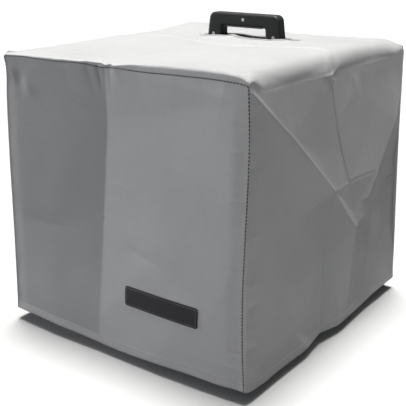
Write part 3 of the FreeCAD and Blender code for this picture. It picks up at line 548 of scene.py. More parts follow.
def loop_back():
    out = np.zeros((len(rows), 3))
    for name, sgn in (("R", 1), ("L", -1)):
        m = zone == name
        t = t_row[m] if sgn > 0 else 1 - t_row[m]
        z0, z1 = hem_back_z(248.0 * sgn), seam_back_z(244.0 * sgn) - 2.0
        z = z0 + t * (z1 - z0)
        x = sgn * (hx(z) - 2.5)
        out[m] = np.stack([x, yb(x, z), z], -1)
    for name, sgn in (("AR", 1), ("AL", -1)):
        m = zone == name
        t = t_row[m] if sgn > 0 else 1 - t_row[m]
        zc = seam_back_z(244.0 * sgn)
        x = 241.5 - 2.0 * (1 - np.cos(t * math.pi / 2))
        z = zc - 2.0 + 2.0 * np.sin(t * math.pi / 2)
        out[m] = np.stack([sgn * x, yb(sgn * x, z), z], -1)
    m = zone == "T"
    x = 239.5 + t_row[m] * (-479.0)
    z = seam_back_z(x)
    out[m] = np.stack([x, yb(x, z), z], -1)
    return out


front_loop, back_loop = loop_front(), loop_back()
P, N = strip(inner_y)


def rolled(P, N, loop, sgn, length):
    """The extra columns from the last inner column to the seam loop."""
    start = P[:, 0] if sgn < 0 else P[:, -1]
    n = N[:, 0] if sgn < 0 else N[:, -1]
    total = loop - start
    inward = -(total * n).sum(1)  # how far the seam lies below the start
    deep = np.clip(np.minimum(inward, roll_deep), 0.3, None)
    out = []
    for e in roll:
        th = e * math.pi / 2
        p = start.copy()
        p[:, 1] += (loop[:, 1] - start[:, 1]) * math.sin(th)
        p -= n * (deep * (1 - math.cos(th)))[:, None]
        out.append(p)
    for name, field, ax in (("R", right, 1), ("L", left, -1), ("T", top, 0)):
        m = zone == name
        for k, e in enumerate(roll):
            p = out[k]
            if name == "T":
                dd = field.at(p[m, 0], p[m, 1]) - field.at(start[m, 0], start[m, 1])
            else:
                dd = field.at(p[m, 1], p[m, 2]) - field.at(start[m, 1], start[m, 2])
            p[m] += n[m] * (dd * (1 - e) ** 0.7)[:, None]
    last = out[-1]
    for e in band:
        out.append(last + (loop - last) * e)
    # the part of the move to the seam that isn't along the normal is shared out over the roll
    rest = loop - start
    rest = rest - n * (rest * n).sum(1)[:, None]
    rest[:, 1] = 0
    for k, e in enumerate(roll):
        out[k] = out[k] + rest * smooth(e)
    for k, e in enumerate(band):
        end = last + rest
        out[len(roll) + k] = end + (loop - end) * e
    return out


cols_f = rolled(P, N, front_loop, -1, roll_len)
cols_b = rolled(P, N, back_loop, 1, roll_len)
wrap_grid = np.concatenate([np.stack(cols_f[::-1], 1), P, np.stack(cols_b, 1)], 1)
EXTRA = len(cols_f)
# lightened fold lines over the wrap: partly wear, partly a painted ridge highlight
wear_and_highlight = np.zeros(wrap_grid.shape[:2])
for name, field in (("R", right), ("L", left)):
    m = zone == name
    wear_and_highlight[m] = field.wear_and_highlight_at(wrap_grid[m][..., 1], wrap_grid[m][..., 2])
m = zone == "T"
wear_and_highlight[m] = top.wear_and_highlight_at(wrap_grid[m][..., 0], wrap_grid[m][..., 1])
for name, field, in (("AR", right), ("AL", left)):
    m = zone == name
    wear_and_highlight[m] = np.maximum(field.wear_and_highlight_at(wrap_grid[m][..., 1], wrap_grid[m][..., 2]), top.wear_and_highlight_at(wrap_grid[m][..., 0], wrap_grid[m][..., 1]))


# ------------------------------------------------------------------ mesh helpers
def mesh_of(name, verts, faces, smooth_faces=True):
    me = bpy.data.meshes.new(name)
    verts = np.asarray(verts, float) / 1000.0
    faces = np.asarray(faces, np.int32)
    me.vertices.add(len(verts))
    me.vertices.foreach_set("co", verts.astype(np.float32).ravel())
    n, k = faces.shape
    me.loops.add(n * k)
    me.loops.foreach_set("vertex_index", faces.ravel())
    me.polygons.add(n)
    me.polygons.foreach_set("loop_start", np.arange(0, n * k, k, dtype=np.int32))
    me.polygons.foreach_set("loop_total", np.full(n, k, np.int32))
    me.update(calc_edges=True)
    me.validate()
    me.polygons.foreach_set("use_smooth", np.full(len(me.polygons), smooth_faces))
    o = bpy.data.objects.new(name, me)
    bpy.context.scene.collection.objects.link(o)
    return o


def grid_faces(m, n, keep=None, flip=False):
    i, j = np.meshgrid(np.arange(m - 1), np.arange(n - 1), indexing="ij")
    a = i * n + j
    f = np.stack([a, a + n, a + n + 1, a + 1], -1)
    if keep is not None:
        f = f[keep]
    f = f.reshape(-1, 4)
    return f[:, ::-1] if flip else f


def attribute(o, name, values, kind="FLOAT"):
    at = o.data.attributes.new(name, kind, "POINT")
    if kind == "FLOAT":
        at.data.foreach_set("value", np.asarray(values, np.float32).ravel())
    else:
        at.data.foreach_set("vector", np.asarray(values, np.float32).ravel())


def cloth_uv(G):
    """Distances in metres along the two ways of a grid, so that a weave keeps its size."""
    du = np.zeros(G.shape[:2])
    dv = np.zeros(G.shape[:2])
    du[1:] = np.cumsum(np.linalg.norm(np.diff(G, axis=0), axis=2), 0)
    dv[:, 1:] = np.cumsum(np.linalg.norm(np.diff(G, axis=1), axis=2), 1)
    return np.stack([du.mean(1)[:, None] + 0 * du, dv.mean(0)[None, :] + 0 * dv, 0 * du], -1) / 1000.0


def solid(o, thickness, offset=-1.0):
    m = o.modifiers.new("thickness", "SOLIDIFY")
    m.thickness = thickness / 1000.0
    m.offset = offset
    m.use_even_offset = False
    m.use_quality_normals = True
    dg = bpy.context.evaluated_depsgraph_get()
    me = bpy.data.meshes.new_from_object(o.evaluated_get(dg), depsgraph=dg)
    o.modifiers.clear()
    old = o.data
    o.data = me
    bpy.data.meshes.remove(old)
    me.polygons.foreach_set("use_smooth", np.ones(len(me.polygons), bool))
    return o


def flat_area(G, keep=None):
    a, b, c, d = G[:-1, :-1], G[1:, :-1], G[1:, 1:], G[:-1, 1:]
    s = 0.5 * (np.linalg.norm(np.cross(b - a, c - a), axis=2) + np.linalg.norm(np.cross(c - a, d - a), axis=2))
    return float((s if keep is None else s[keep]).sum()) / 1e6


# ------------------------------------------------------------------ materials
def nodes_of(name):
    mat = bpy.data.materials.new(name)
    mat.use_nodes = True
    nt = mat.node_tree
    return mat, nt, nt.nodes["Principled BSDF"]


def link(nt, a, b):
    nt.links.new(a, b)


def noise_node(nt, vec, scale, detail=4.0, rough=0.55, distortion=0.0):
    n = nt.nodes.new("ShaderNodeTexNoise")
    n.inputs["Scale"].default_value = scale
    n.inputs["Detail"].default_value = detail
    n.inputs["Roughness"].default_value = rough
    n.inputs["Distortion"].default_value = distortion
    link(nt, vec, n.inputs["Vector"])
    return n.outputs["Fac"]


def remap(nt, fac, a, b, c, d):
    n = nt.nodes.new("ShaderNodeMapRange")
    for k, v in zip(("From Min", "From Max", "To Min", "To Max"), (a, b, c, d)):
        n.inputs[k].default_value = v
    link(nt, fac, n.inputs["Value"])
    return n.outputs["Result"]


def math_node(nt, op, a, b=None, clamp=False):
    n = nt.nodes.new("ShaderNodeMath")
    n.operation = op
    n.use_clamp = clamp
    for k, v in enumerate((a, b)):
        if v is None:
            continue
        if isinstance(v, (int, float)):
            n.inputs[k].default_value = v
        else:
            link(nt, v, n.inputs[k])
    return n.outputs[0]


def mix_color(nt, fac, a, b, blend="MIX"):
    n = nt.nodes.new("ShaderNodeMix")
    n.data_type = "RGBA"
    n.blend_type = blend
    if isinstance(fac, (int, float)):
        n.inputs[0].default_value = fac
    else:
        link(nt, fac, n.inputs[0])
    for k, v in ((6, a), (7, b)):
        if isinstance(v, (tuple, list)):
            n.inputs[k].default_value = (*v[:3], 1)
        else:
            link(nt, v, n.inputs[k])
    return n.outputs[2]


def bump_node(nt, height, strength, distance, normal=None):
    n = nt.nodes.new("ShaderNodeBump")
    n.inputs["Strength"].default_value = strength
    n.inputs["Distance"].default_value = distance
    link(nt, height, n.inputs["Height"])
    if normal is not None:
        link(nt, normal, n.inputs["Normal"])
    return n.outputs["Normal"]


def stretch(nt, vec, scale):
    n = nt.nodes.new("ShaderNodeMapping")
    n.inputs["Scale"].default_value = scale
    link(nt, vec, n.inputs["Vector"])
    return n.outputs["Vector"]


def object_coord(nt):
    return nt.nodes.new("ShaderNodeTexCoord").outputs["Object"]


def named(nt, name):
    n = nt.nodes.new("ShaderNodeAttribute")
    n.attribute_name = name
    return n


def shade(c, k):
    return tuple(min(1.0, x * k) for x in c)


def fabric(name, base, rough=0.62, thread=0.0011, sheen=0.06, spec=0.14, dark=0.95, light=1.04):
    """Coated plain-weave cloth: fine threads, soft mottling, fold lines lightened partly as wear and partly as a
    painted highlight, and painted shade where the mesh marks it.
    """
    mat, nt, b = nodes_of(name)
    cloth = named(nt, "cloth").outputs["Vector"]
    sep = nt.nodes.new("ShaderNodeSeparateXYZ")
    link(nt, cloth, sep.inputs[0])
    k = 2 * math.pi / thread
    wu = math_node(nt, "SINE", math_node(nt, "MULTIPLY", sep.outputs[0], k))
    wv = math_node(nt, "SINE", math_node(nt, "MULTIPLY", sep.outputs[1], k))
    weave = math_node(nt, "MULTIPLY", wu, wv)
    ribs = math_node(nt, "ADD", math_node(nt, "MULTIPLY", weave, 0.5), 0.5)
    slub = noise_node(nt, stretch(nt, cloth, (420, 45, 1)), 1.0, 4.0, 0.65)
    slub2 = noise_node(nt, stretch(nt, cloth, (45, 420, 1)), 1.0, 4.0, 0.65)
    grain = noise_node(nt, cloth, 2600, 2.0)
    mottle = noise_node(nt, object_coord(nt), 7.0, 5.0, 0.6)
    streak = noise_node(nt, stretch(nt, cloth, (5, 150, 1)), 1.0, 4.0)
    tone_and_painted_shade = math_node(nt, "ADD", math_node(nt, "MULTIPLY", mottle, 0.8), math_node(nt, "MULTIPLY", streak, 0.2))
    col = mix_color(nt, remap(nt, tone_and_painted_shade, 0.32, 0.68, 0, 1), shade(base, dark), shade(base, light))
    fine = math_node(nt, "ADD", math_node(nt, "MULTIPLY", math_node(nt, "ADD", slub, slub2), 0.5), math_node(nt, "MULTIPLY", ribs, 0.35))
    col = mix_color(nt, remap(nt, fine, 0.42, 0.92, 0.0, 1.0), mix_color(nt, 0.12, col, (0.0, 0.0, 0.0)), col)
    # painted shade: the cloth is up to 30 % darker where the mesh's tone attribute is set
    shade_fac = named(nt, "tone_and_painted_shade").outputs["Fac"]
    col = mix_color(nt, math_node(nt, "MULTIPLY", shade_fac, 0.30, True), col, (0.0, 0.0, 0.0))
    # fold lines lightened towards pale grey by up to 55 %: partly wear, partly a painted highlight on the ridges
    wear_and_highlight_fac = named(nt, "wear_and_highlight").outputs["Fac"]
    col = mix_color(nt, math_node(nt, "MULTIPLY", wear_and_highlight_fac, 0.55, True), col, (0.36, 0.36, 0.36))
    link(nt, col, b.inputs["Base Color"])
    link(nt, remap(nt, math_node(nt, "ADD", mottle, grain), 0.7, 1.3, rough - 0.07, rough + 0.08), b.inputs["Roughness"])
    b.inputs["Specular IOR Level"].default_value = spec
    b.inputs["Sheen Weight"].default_value = sheen
    b.inputs["Sheen Roughness"].default_value = 0.4
    height = math_node(nt, "ADD", math_node(nt, "MULTIPLY", ribs, 0.6), math_node(nt, "ADD", math_node(nt, "MULTIPLY", slub, 0.4), math_node(nt, "MULTIPLY", grain, 0.3)))
    n1 = bump_node(nt, height, 0.6, 0.0006)
    soft = noise_node(nt, object_coord(nt), 60.0, 3.0)
    link(nt, bump_node(nt, soft, 0.25, 0.0012, n1), b.inputs["Normal"])
    return mat


def plastic(name, base, rough=0.45, grain=900.0, depth=0.00012, vary=0.12, spec=0.5, coat=0.0, tint=None):
    mat, nt, b = nodes_of(name)
    oc = object_coord(nt)
    big, mid, fine = noise_node(nt, oc, 9.0, 5.0, 0.6), noise_node(nt, oc, 70.0, 4.0), noise_node(nt, oc, grain, 3.0, 0.6)
    scuff = noise_node(nt, stretch(nt, oc, (220, 30, 90)), 1.0, 4.0, 0.7)
    col = mix_color(nt, remap(nt, big, 0.3, 0.7, 0, 1), shade(base, 1 - vary), shade(base, 1 + vary))
    dust = tint or tuple(min(1, x * 1.5 + 0.03) for x in base)
    col = mix_color(nt, remap(nt, scuff, 0.62, 0.82, 0.0, 0.5), col, dust)
    link(nt, col, b.inputs["Base Color"])
    link(nt, remap(nt, math_node(nt, "ADD", mid, scuff), 0.7, 1.35, rough - 0.08, rough + 0.12), b.inputs["Roughness"])
    b.inputs["Specular IOR Level"].default_value = spec
    b.inputs["Coat Weight"].default_value = coat
    n1 = bump_node(nt, fine, 0.5, depth)
    link(nt, bump_node(nt, mid, 0.12, 0.0004, n1), b.inputs["Normal"])
    return mat


def rubber(name, base, rough=0.78):
    mat, nt, b = nodes_of(name)
    oc = object_coord(nt)
    big, fine = noise_node(nt, oc, 22.0, 5.0, 0.65), noise_node(nt, oc, 1500.0, 2.0)
    dust = noise_node(nt, oc, 120.0, 5.0, 0.7)
    col = mix_color(nt, remap(nt, big, 0.3, 0.7, 0, 1), shade(base, 0.8), shade(base, 1.25))
    col = mix_color(nt, remap(nt, dust, 0.55, 0.85, 0, 0.35), col, (0.16, 0.15, 0.14))
    link(nt, col, b.inputs["Base Color"])
    link(nt, remap(nt, big, 0.3, 0.7, rough - 0.1, rough + 0.1), b.inputs["Roughness"])
    b.inputs["Specular IOR Level"].default_value = 0.2
    link(nt, bump_node(nt, fine, 0.5, 0.0002, bump_node(nt, dust, 0.2, 0.0006)), b.inputs["Normal"])
    return mat


def metal(name, base, rough=0.32, along=(600, 600, 12), depth=0.00008, vary=0.12, metallic=1.0):
    mat, nt, b = nodes_of(name)
    oc = object_coord(nt)
    lines = noise_node(nt, stretch(nt, oc, along), 1.0, 3.0, 0.6)
    big = noise_node(nt, oc, 14.0, 5.0, 0.6)
    col = mix_color(nt, remap(nt, big, 0.3, 0.7, 0, 1), shade(base, 1 - vary), shade(base, 1 + vary))
    col = mix_color(nt, remap(nt, lines, 0.35, 0.7, 0, 0.35), col, shade(base, 0.7))
    link(nt, col, b.inputs["Base Color"])
    link(nt, remap(nt, math_node(nt, "ADD", lines, big), 0.7, 1.3, rough - 0.08, rough + 0.12), b.inputs["Roughness"])
    b.inputs["Metallic"].default_value = metallic
    link(nt, bump_node(nt, lines, 0.3, depth), b.inputs["Normal"])
    return mat


def powder(name, base, rough=0.55):
    mat, nt, b = nodes_of(name)
    oc = object_coord(nt)
    peel, fine, big = noise_node(nt, oc, 420.0, 3.0), noise_node(nt, oc, 1800.0, 2.0), noise_node(nt, oc, 10.0, 5.0)
    col = mix_color(nt, remap(nt, big, 0.3, 0.7, 0, 1), shade(base, 0.85), shade(base, 1.2))
    chips = noise_node(nt, oc, 160.0, 4.0, 0.7)
    col = mix_color(nt, remap(nt, chips, 0.70, 0.76, 0, 0.6), col, (0.35, 0.34, 0.33))
    link(nt, col, b.inputs["Base Color"])
    link(nt, remap(nt, peel, 0.3, 0.7, rough - 0.08, rough + 0.08), b.inputs["Roughness"])
    link(nt, bump_node(nt, peel, 0.35, 0.0003, bump_node(nt, fine, 0.3, 0.0001)), b.inputs["Normal"])
    return mat


def board(name):
    mat, nt, b = nodes_of(name)
    oc = object_coord(nt)
    v = nt.nodes.new("ShaderNodeTexVoronoi")
    v.distance = "CHEBYCHEV"
    v.inputs["Scale"].default_value = 160.0
    link(nt, oc, v.inputs["Vector"])
    br = nt.nodes.new("ShaderNodeTexBrick")
    br.inputs["Scale"].default_value = 90.0
    br.inputs["Mortar Size"].default_value = 0.03
    link(nt, stretch(nt, oc, (1, 0.2, 1)), br.inputs["Vector"])
    col = mix_color(nt, remap(nt, v.outputs["Distance"], 0.28, 0.34, 1, 0), (0.02, 0.19, 0.08), (0.03, 0.28, 0.12))
    col = mix_color(nt, remap(nt, br.outputs["Fac"], 0.4, 0.6, 0.0, 0.7), col, (0.10, 0.40, 0.20))
    pads = noise_node(nt, oc, 260.0, 1.0)
    col = mix_color(nt, remap(nt, pads, 0.70, 0.72, 0, 1), col, (0.72, 0.70, 0.62))
    link(nt, col, b.inputs["Base Color"])
    b.inputs["Roughness"].default_value = 0.3
    link(nt, bump_node(nt, v.outputs["Distance"], 0.2, 0.0002), b.inputs["Normal"])
    return mat


FABRIC = fabric("cover_cloth", (0.150, 0.150, 0.152))
TRIM = fabric("cover_binding", (0.140, 0.140, 0.142), rough=0.7, thread=0.0016, sheen=0.15)
LABEL = fabric("label_weave", (0.008, 0.008, 0.009), rough=0.75, thread=0.0013, sheen=0.02, spec=0.1)
THREAD = rubber("seam_thread", (0.010, 0.010, 0.011), 0.85)
THREAD_GREY = rubber("hem_thread", (0.075, 0.075, 0.08), 0.8)

BY_SLOT = {
    "hopper_plastic": plastic("hopper_moulding", (0.055, 0.055, 0.06), 0.5, 700, 0.00022),
    "housing_plastic": plastic("housing_moulding", (0.17, 0.175, 0.185), 0.52, 800, 0.00022),
    "grip_plastic": plastic("grip_moulding", (0.0060, 0.0068, 0.0064), 0.5, 1300, 0.00016, vary=0.2, spec=0.16, tint=(0.014, 0.015, 0.013)),
    "foot_rubber": rubber("foot_rubber", (0.022, 0.022, 0.023)),
    "tyre_rubber": rubber("tyre_rubber", (0.028, 0.028, 0.029)),
    "wheel_plastic": plastic("wheel_moulding", (0.27, 0.28, 0.29), 0.5, 700, 0.0002),
    "bright_steel": metal("plated_steel", (0.62, 0.62, 0.63), 0.3, (500, 500, 500)),
    "tube_aluminium": metal("anodised_tube", (0.70, 0.71, 0.72), 0.34, (900, 900, 8)),
    "frame_steel": powder("powder_coat", (0.07, 0.07, 0.075)),
    "gear_nylon": plastic("gear_nylon", (0.76, 0.74, 0.66), 0.45, 500, 0.0001, vary=0.05),
    "motor_can": metal("motor_can", (0.13, 0.13, 0.14), 0.4, (40, 40, 900), metallic=0.7),
    "battery_case": plastic("battery_case", (0.07, 0.07, 0.08), 0.5, 600, 0.0002),
    "board_laminate": board("board_laminate"),
    "panel_plastic": plastic("panel_moulding", (0.09, 0.09, 0.10), 0.45, 900, 0.00016),
    "knob_plastic": plastic("knob_moulding", (0.04, 0.04, 0.042), 0.4, 1000, 0.00012),
    "rocker_plastic": plastic("rocker_moulding", (0.42, 0.03, 0.025), 0.22, 1200, 0.00005, vary=0.06, coat=0.3),
    "lamp_lens": plastic("lamp_lens", (0.06, 0.45, 0.12), 0.15, 400, 0.00003, vary=0.05, coat=0.5),
    "throw_rubber": rubber("tread_rubber", (0.14, 0.14, 0.145), 0.7),
    "throw_hub": metal("cast_hub", (0.55, 0.56, 0.57), 0.42, (300, 300, 300), 0.0002),
    "feed_plastic": plastic("feed_moulding", (0.70, 0.34, 0.03), 0.42, 800, 0.00015, vary=0.06),
}
slot_of = {s["node"]: s["material_slot"] for s in frame["record"]["subparts"]}


def dress(o, mat):
    o.data.materials.clear()
    o.data.materials.append(mat)


for n, o in NODES.items():
    if slot_of[n] in BY_SLOT:
        dress(o, BY_SLOT[slot_of[n]])

# ------------------------------------------------------------------ cover pieces
COVER = "cover"
m_, n_ = wrap_grid.shape[:2]
keep = np.ones((m_ - 1, n_ - 1), bool)
xs = wrap_grid[:, EXTRA + COL_F, 0]
hole = (zone[:-1] == "T") & (xs[:-1] < SLIT_B) & (xs[1:] > SLIT_A)
keep[hole, EXTRA + COL_F] = False
wrap = mesh_of("cover_wrap", wrap_grid.reshape(-1, 3), grid_faces(m_, n_, keep, flip=False))
attribute(wrap, "cloth", cloth_uv(wrap_grid), "FLOAT_VECTOR")
attribute(wrap, "wear_and_highlight", wear_and_highlight)
# painted shade on the right face behind its long diagonal ridge: up to 19 % darker, about 10 % near the hem
ridge_y = np.interp(wrap_grid[..., 2], [14, 91, 187, 267, 352, 420, 470], [52, 66, 82, 152, 219, 256, 275])
painted_shade_behind_ridge = smooth((wrap_grid[..., 1] - ridge_y) / 4.0 + 0.5) * smooth((wrap_grid[..., 0] - 225.0) / 10.0) * smooth((430.0 - wrap_grid[..., 2]) / 40.0)
attribute(wrap, "tone_and_painted_shade", painted_shade_behind_ridge * (0.62 - 0.28 * smooth((150.0 - wrap_grid[..., 2]) / 110.0)))
wrap_area = flat_area(wrap_grid, keep)

fa = np.linspace(0, 1, 222)[:, None]
fb = np.linspace(0, 1, 206)[None, :]
front_grid = front_point(fa, fb)
front_o = mesh_of("cover_front", front_grid.reshape(-1, 3), grid_faces(222, 206, flip=False))
attribute(front_o, "cloth", cloth_uv(front_grid) + np.array([2.0, 1.0, 0]), "FLOAT_VECTOR")
attribute(front_o, "wear_and_highlight", front.wear_and_highlight_at(front_grid[..., 0], front_grid[..., 2]))
# painted shade on the front, left of the pressed fold: up to 30 % darker, about 22 % near the hem
fold_x = curve(front_grid[..., 2], [(20, -43), (60, -42), (165, -38), (277, -33), (402, -25), (486, -23)])
attribute(front_o, "tone_and_painted_shade", smooth((fold_x - front_grid[..., 0]) / 5.0 + 0.5) * (0.72 + 0.28 * smooth((front_grid[..., 2] - 90) / 170.0)))

ba = np.linspace(0, 1, 150)[:, None]
bb = np.linspace(0, 1, 140)[None, :]
back_grid = back_point(ba, bb)
back_o = mesh_of("cover_back", back_grid.reshape(-1, 3), grid_faces(150, 140, flip=True))
attribute(back_o, "cloth", cloth_uv(back_grid) + np.array([4.0, 2.0, 0]), "FLOAT_VECTOR")
attribute(back_o, "wear_and_highlight", back.wear_and_highlight_at(back_grid[..., 0], back_grid[..., 2]))


def fix_normals(o, centre):
    """Faces look away from the cover's middle, so that thickness grows inwards."""
    me = o.data
    n = len(me.polygons)
    c, nn = np.zeros(n * 3, np.float32), np.zeros(n * 3, np.float32)
    me.polygons.foreach_get("center", c)
    me.polygons.foreach_get("normal", nn)
    if ((c.reshape(-1, 3) - np.array(centre)) * nn.reshape(-1, 3)).sum() < 0:
        me.flip_normals()


for o in (wrap, front_o, back_o):
    fix_normals(o, (0, 0, 0.25))
    solid(o, THICK)
    dress(o, FABRIC)
    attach(o, COVER)


# stitches: small thread capsules along a line
def capsules(name, pts, outs, pitch, length, dia, lift, mat, gap_jitter=0.0, seed=1):
    pts, outs = np.asarray(pts, float), np.asarray(outs, float)
    d = np.linalg.norm(np.diff(pts, axis=0), axis=1)
    s = np.concatenate([[0], np.cumsum(d)])
    at = np.arange(pitch * 0.5, s[-1] - pitch * 0.5, pitch)
    rng = np.random.default_rng(seed)
    V, F = [], []
    prof = [(-0.5, 0.05), (-0.42, 0.75), (-0.2, 1.0), (0.2, 1.0), (0.42, 0.75), (0.5, 0.05)]
    K = 6
    for k, a in enumerate(at):
        p = np.array([np.interp(a, s, pts[:, i]) for i in range(3)])
        p2 = np.array([np.interp(a + 1.0, s, pts[:, i]) for i in range(3)])
        o = np.array([np.interp(a, s, outs[:, i]) for i in range(3)])
        t = p2 - p
        t /= max(np.linalg.norm(t), 1e-9)
        o = o - t * (o @ t)
        o /= max(np.linalg.norm(o), 1e-9)
        q = np.cross(t, o)
        L = length * (1 + gap_jitter * rng.uniform(-1, 1))
        base = len(V)
        for u, r in prof:
            c = p + t * (u * L) + o * (lift - (abs(u) / 0.5) ** 2 * dia * 0.45)
            for j in range(K):
                th = 2 * math.pi * j / K
                V.append(c + (q * math.cos(th) + o * math.sin(th)) * r * dia / 2)
        for i in range(len(prof) - 1):
            for j in range(K):
                a0, a1 = base + i * K + j, base + i * K + (j + 1) % K
                F.append((a0, a1, a1 + K, a0 + K))
    o = mesh_of(name, np.array(V), np.array(F))
    dress(o, mat)
    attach(o, COVER)
    return o


def outward(loop, face):
    """Direction away from the cover's middle at a seam, between the two panels."""
    out = np.zeros_like(loop)
    out[:, 0] = np.where(zone == "R", 0.55, np.where(zone == "L", -0.55, 0))
    out[:, 2] = np.where(np.isin(zone, ["T", "AR", "AL"]), 0.25, 0)
    out[:, 1] = face
    return out / np.linalg.norm(out, axis=1)[:, None]


front_stitch = capsules("seam_stitches_front", front_loop + np.array([0, -0.2, 0]), outward(front_loop, -1.0), 5.4, 3.9, 1.85, 0.5, THREAD, 0.12, 5)
back_stitch = capsules("seam_stitches_back", back_loop + np.array([0, 0.2, 0]), outward(back_loop, 1.0), 5.4, 3.9, 1.85, 0.5, THREAD, 0.12, 6)


# ------------------------------------------------------------------ hem: a folded band round the bottom edge
def at_height(lines, h):
    """lines is (columns, points from the hem up, 3): the point h mm along each line from its lower end."""
    seg = np.linalg.norm(np.diff(lines, axis=1), axis=2)
    s = np.concatenate([np.zeros((len(lines), 1)), np.cumsum(seg, 1)], 1)
    out = np.zeros((len(lines), 3))
    for k in range(len(lines)):
        for i in range(3):
            out[k, i] = np.interp(h, s[k], lines[k, :, i])
    return out


side_r = wrap_grid[zone == "R"][:20].transpose(1, 0, 2)
side_l = wrap_grid[zone == "L"][::-1][:14].transpose(1, 0, 2)
lower = [front_grid[:, :16], side_r[1:], back_grid[::-1, :14][1:], side_l[::-1][1:-1]]


def ring(h):
    return np.concatenate([at_height(g, h) for g in lower])


def ring_normals(r):
    t = np.roll(r, -2, 0) - np.roll(r, 2, 0)
    n = np.stack([t[:, 1], -t[:, 0], 0 * t[:, 0]], -1)
    for _ in range(2):
        n = (np.roll(n, 1, 0) + 2 * n + np.roll(n, -1, 0)) / 4
    return n / np.linalg.norm(n, axis=1)[:, None]


def band_mesh(name, rings):
    """A closed ring of profile points, closed round the profile as well."""
    R = np.stack(rings, 0)
    k, n = R.shape[:2]
    F = []
    for i in range(k):
        for j in range(n):
            i2, j2 = (i + 1) % k, (j + 1) % n
            F.append((i * n + j, i * n + j2, i2 * n + j2, i2 * n + j))
    return mesh_of(name, R.reshape(-1, 3), F), R


r16 = ring(15.5)
nrm = ring_normals(r16)
count = len(r16)
pucker = 0.25 * value_noise(np.arange(count) * 2.3, 0 * r16[:, 0], 9.0, 77) + 0.2 * value_noise(np.arange(count) * 2.3, 0 * r16[:, 0], 31.0, 78)
hem_rings = []
for h, d in [(19.0, -0.75), (17.0, -0.35), (14.0, 0.18), (10.5, 0.42), (7.0, 0.6), (3.5, 0.65), (1.2, 0.5), (0.2, 0.0), (0.1, -0.8), (1.2, -1.3), (3.2, -1.4), (3.4, -0.95)]:
    p = ring(h)
    w = 1.0 if 0.5 < h < 15 and d > 0 else 0.3
    hem_rings.append(p + nrm * (d + 0.2 * w * pucker)[:, None])
hem, hem_R = band_mesh("cover_hem", hem_rings)
s_ring = np.concatenate([[0], np.cumsum(np.linalg.norm(np.diff(r16, axis=0), axis=1))])
attribute(hem, "cloth", np.stack([np.broadcast_to(s_ring / 1000 + 7, (len(hem_rings), count)), np.broadcast_to(np.array([19, 17, 14, 10.5, 7, 3.5, 1.2, 0, -1, -2, -4, -5])[:, None] / 1000, (len(hem_rings), count)), np.zeros((len(hem_rings), count))], -1), "FLOAT_VECTOR")
attribute(hem, "wear_and_highlight", np.zeros(hem_R.shape[:2]))
fix_normals(hem, (0, 0, 0.02))
dress(hem, FABRIC)
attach(hem, COVER)
hem_line = ring(12.5) + nrm * 0.35
hem_stitch = capsules("hem_stitches", np.concatenate([hem_line, hem_line[:1]]), np.concatenate([nrm, nrm[:1]]), 4.2, 2.9, 0.8, 0.15, THREAD_GREY, 0.1, 8)

# ------------------------------------------------------------------ the slot's bound edge
xl = np.linspace(SLIT_A, SLIT_B, 112)
half = np.maximum(15.0 * smooth((xl - SLIT_A) / 14.0) * smooth((SLIT_B - xl) / 22.0), 0.5)
lip_f = np.stack([xl, SLIT_Y - half], -1)
lip_b = np.stack([xl, SLIT_Y + half], -1)[::-1]
arc = np.linspace(0, math.pi, 7)[1:-1]
end_r = np.stack([SLIT_B + 0.5 * np.sin(arc), SLIT_Y - 0.5 * np.cos(arc)], -1)
end_l = np.stack([SLIT_A - 0.5 * np.sin(arc), SLIT_Y + 0.5 * np.cos(arc)], -1)
lip = np.concatenate([lip_f, end_r, lip_b, end_l])
tan = np.roll(lip, -1, 0) - np.roll(lip, 1, 0)
lip_n = np.stack([tan[:, 1], -tan[:, 0]], -1)
lip_n /= np.linalg.norm(lip_n, axis=1)[:, None]
bind_rings = []
wav = 0.2 * value_noise(np.arange(len(lip)) * 1.0, np.zeros(len(lip)), 5.0, 91)
for d, h in [(7.0, 0.1), (7.0, 0.8), (5.0, 1.05), (2.0, 1.15), (0.2, 1.1), (-0.9, 0.5), (-1.1, -0.5), (-0.7, -1.7), (1.5, -2.2), (5.0, -2.2), (6.5, -1.9), (6.5, -1.0)]:
    q = lip + lip_n * (d + wav[:, None])
    z = Z_TOP + top.at(lip[:, 0] + lip_n[:, 0] * max(d, 0), lip[:, 1] + lip_n[:, 1] * max(d, 0)) + h
    bind_rings.append(np.concatenate([q, z[:, None]], 1))
binding, bind_R = band_mesh("cover_slot_edge", bind_rings)
s_lip = np.concatenate([[0], np.cumsum(np.linalg.norm(np.diff(lip, axis=0), axis=1))])
attribute(binding, "cloth", np.stack([np.broadcast_to(s_lip / 1000 + 9, (12, len(lip))), np.broadcast_to(np.arange(12)[:, None] * 0.0015, (12, len(lip))), np.zeros((12, len(lip)))], -1), "FLOAT_VECTOR")
attribute(binding, "wear_and_highlight", np.zeros(bind_R.shape[:2]))
fix_normals(binding, (0, SLIT_Y / 1000, 0.40))
dress(binding, TRIM)
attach(binding, COVER)
lip_in = lip + lip_n * 4.6
lip_line = np.concatenate([lip_in, (Z_TOP + top.at(lip_in[:, 0], lip_in[:, 1]) + 1.1)[:, None]], 1)
up = np.tile([0.0, 0.0, 1.0], (len(lip), 1))
slot_stitch = capsules("slot_stitches", np.concatenate([lip_line, lip_line[:1]]), np.concatenate([up, up[:1]]), 4.0, 2.8, 0.8, 0.1, THREAD_GREY, 0.1, 9)


# ------------------------------------------------------------------ a plain sewn patch, with nothing on it
def front_surface(x, z, off):
    return np.stack([x, yf(x, z) - off, z], -1)


px, pz = np.meshgrid(np.linspace(16, 164, 112), np.linspace(103, 137, 30), indexing="ij")


def rounded(x, z, x0, x1, z0, z1, r):
    """Pulls a rectangle's corners in to round them."""
    cx, cz = (x0 + x1) / 2, (z0 + z1) / 2
    u, v = x - cx, z - cz
    hw, hh = (x1 - x0) / 2, (z1 - z0) / 2
    inx = hw - r + np.sqrt(np.maximum(r * r - np.maximum(np.abs(v) - (hh - r), 0) ** 2, 0))
    return cx + u * inx / hw, z


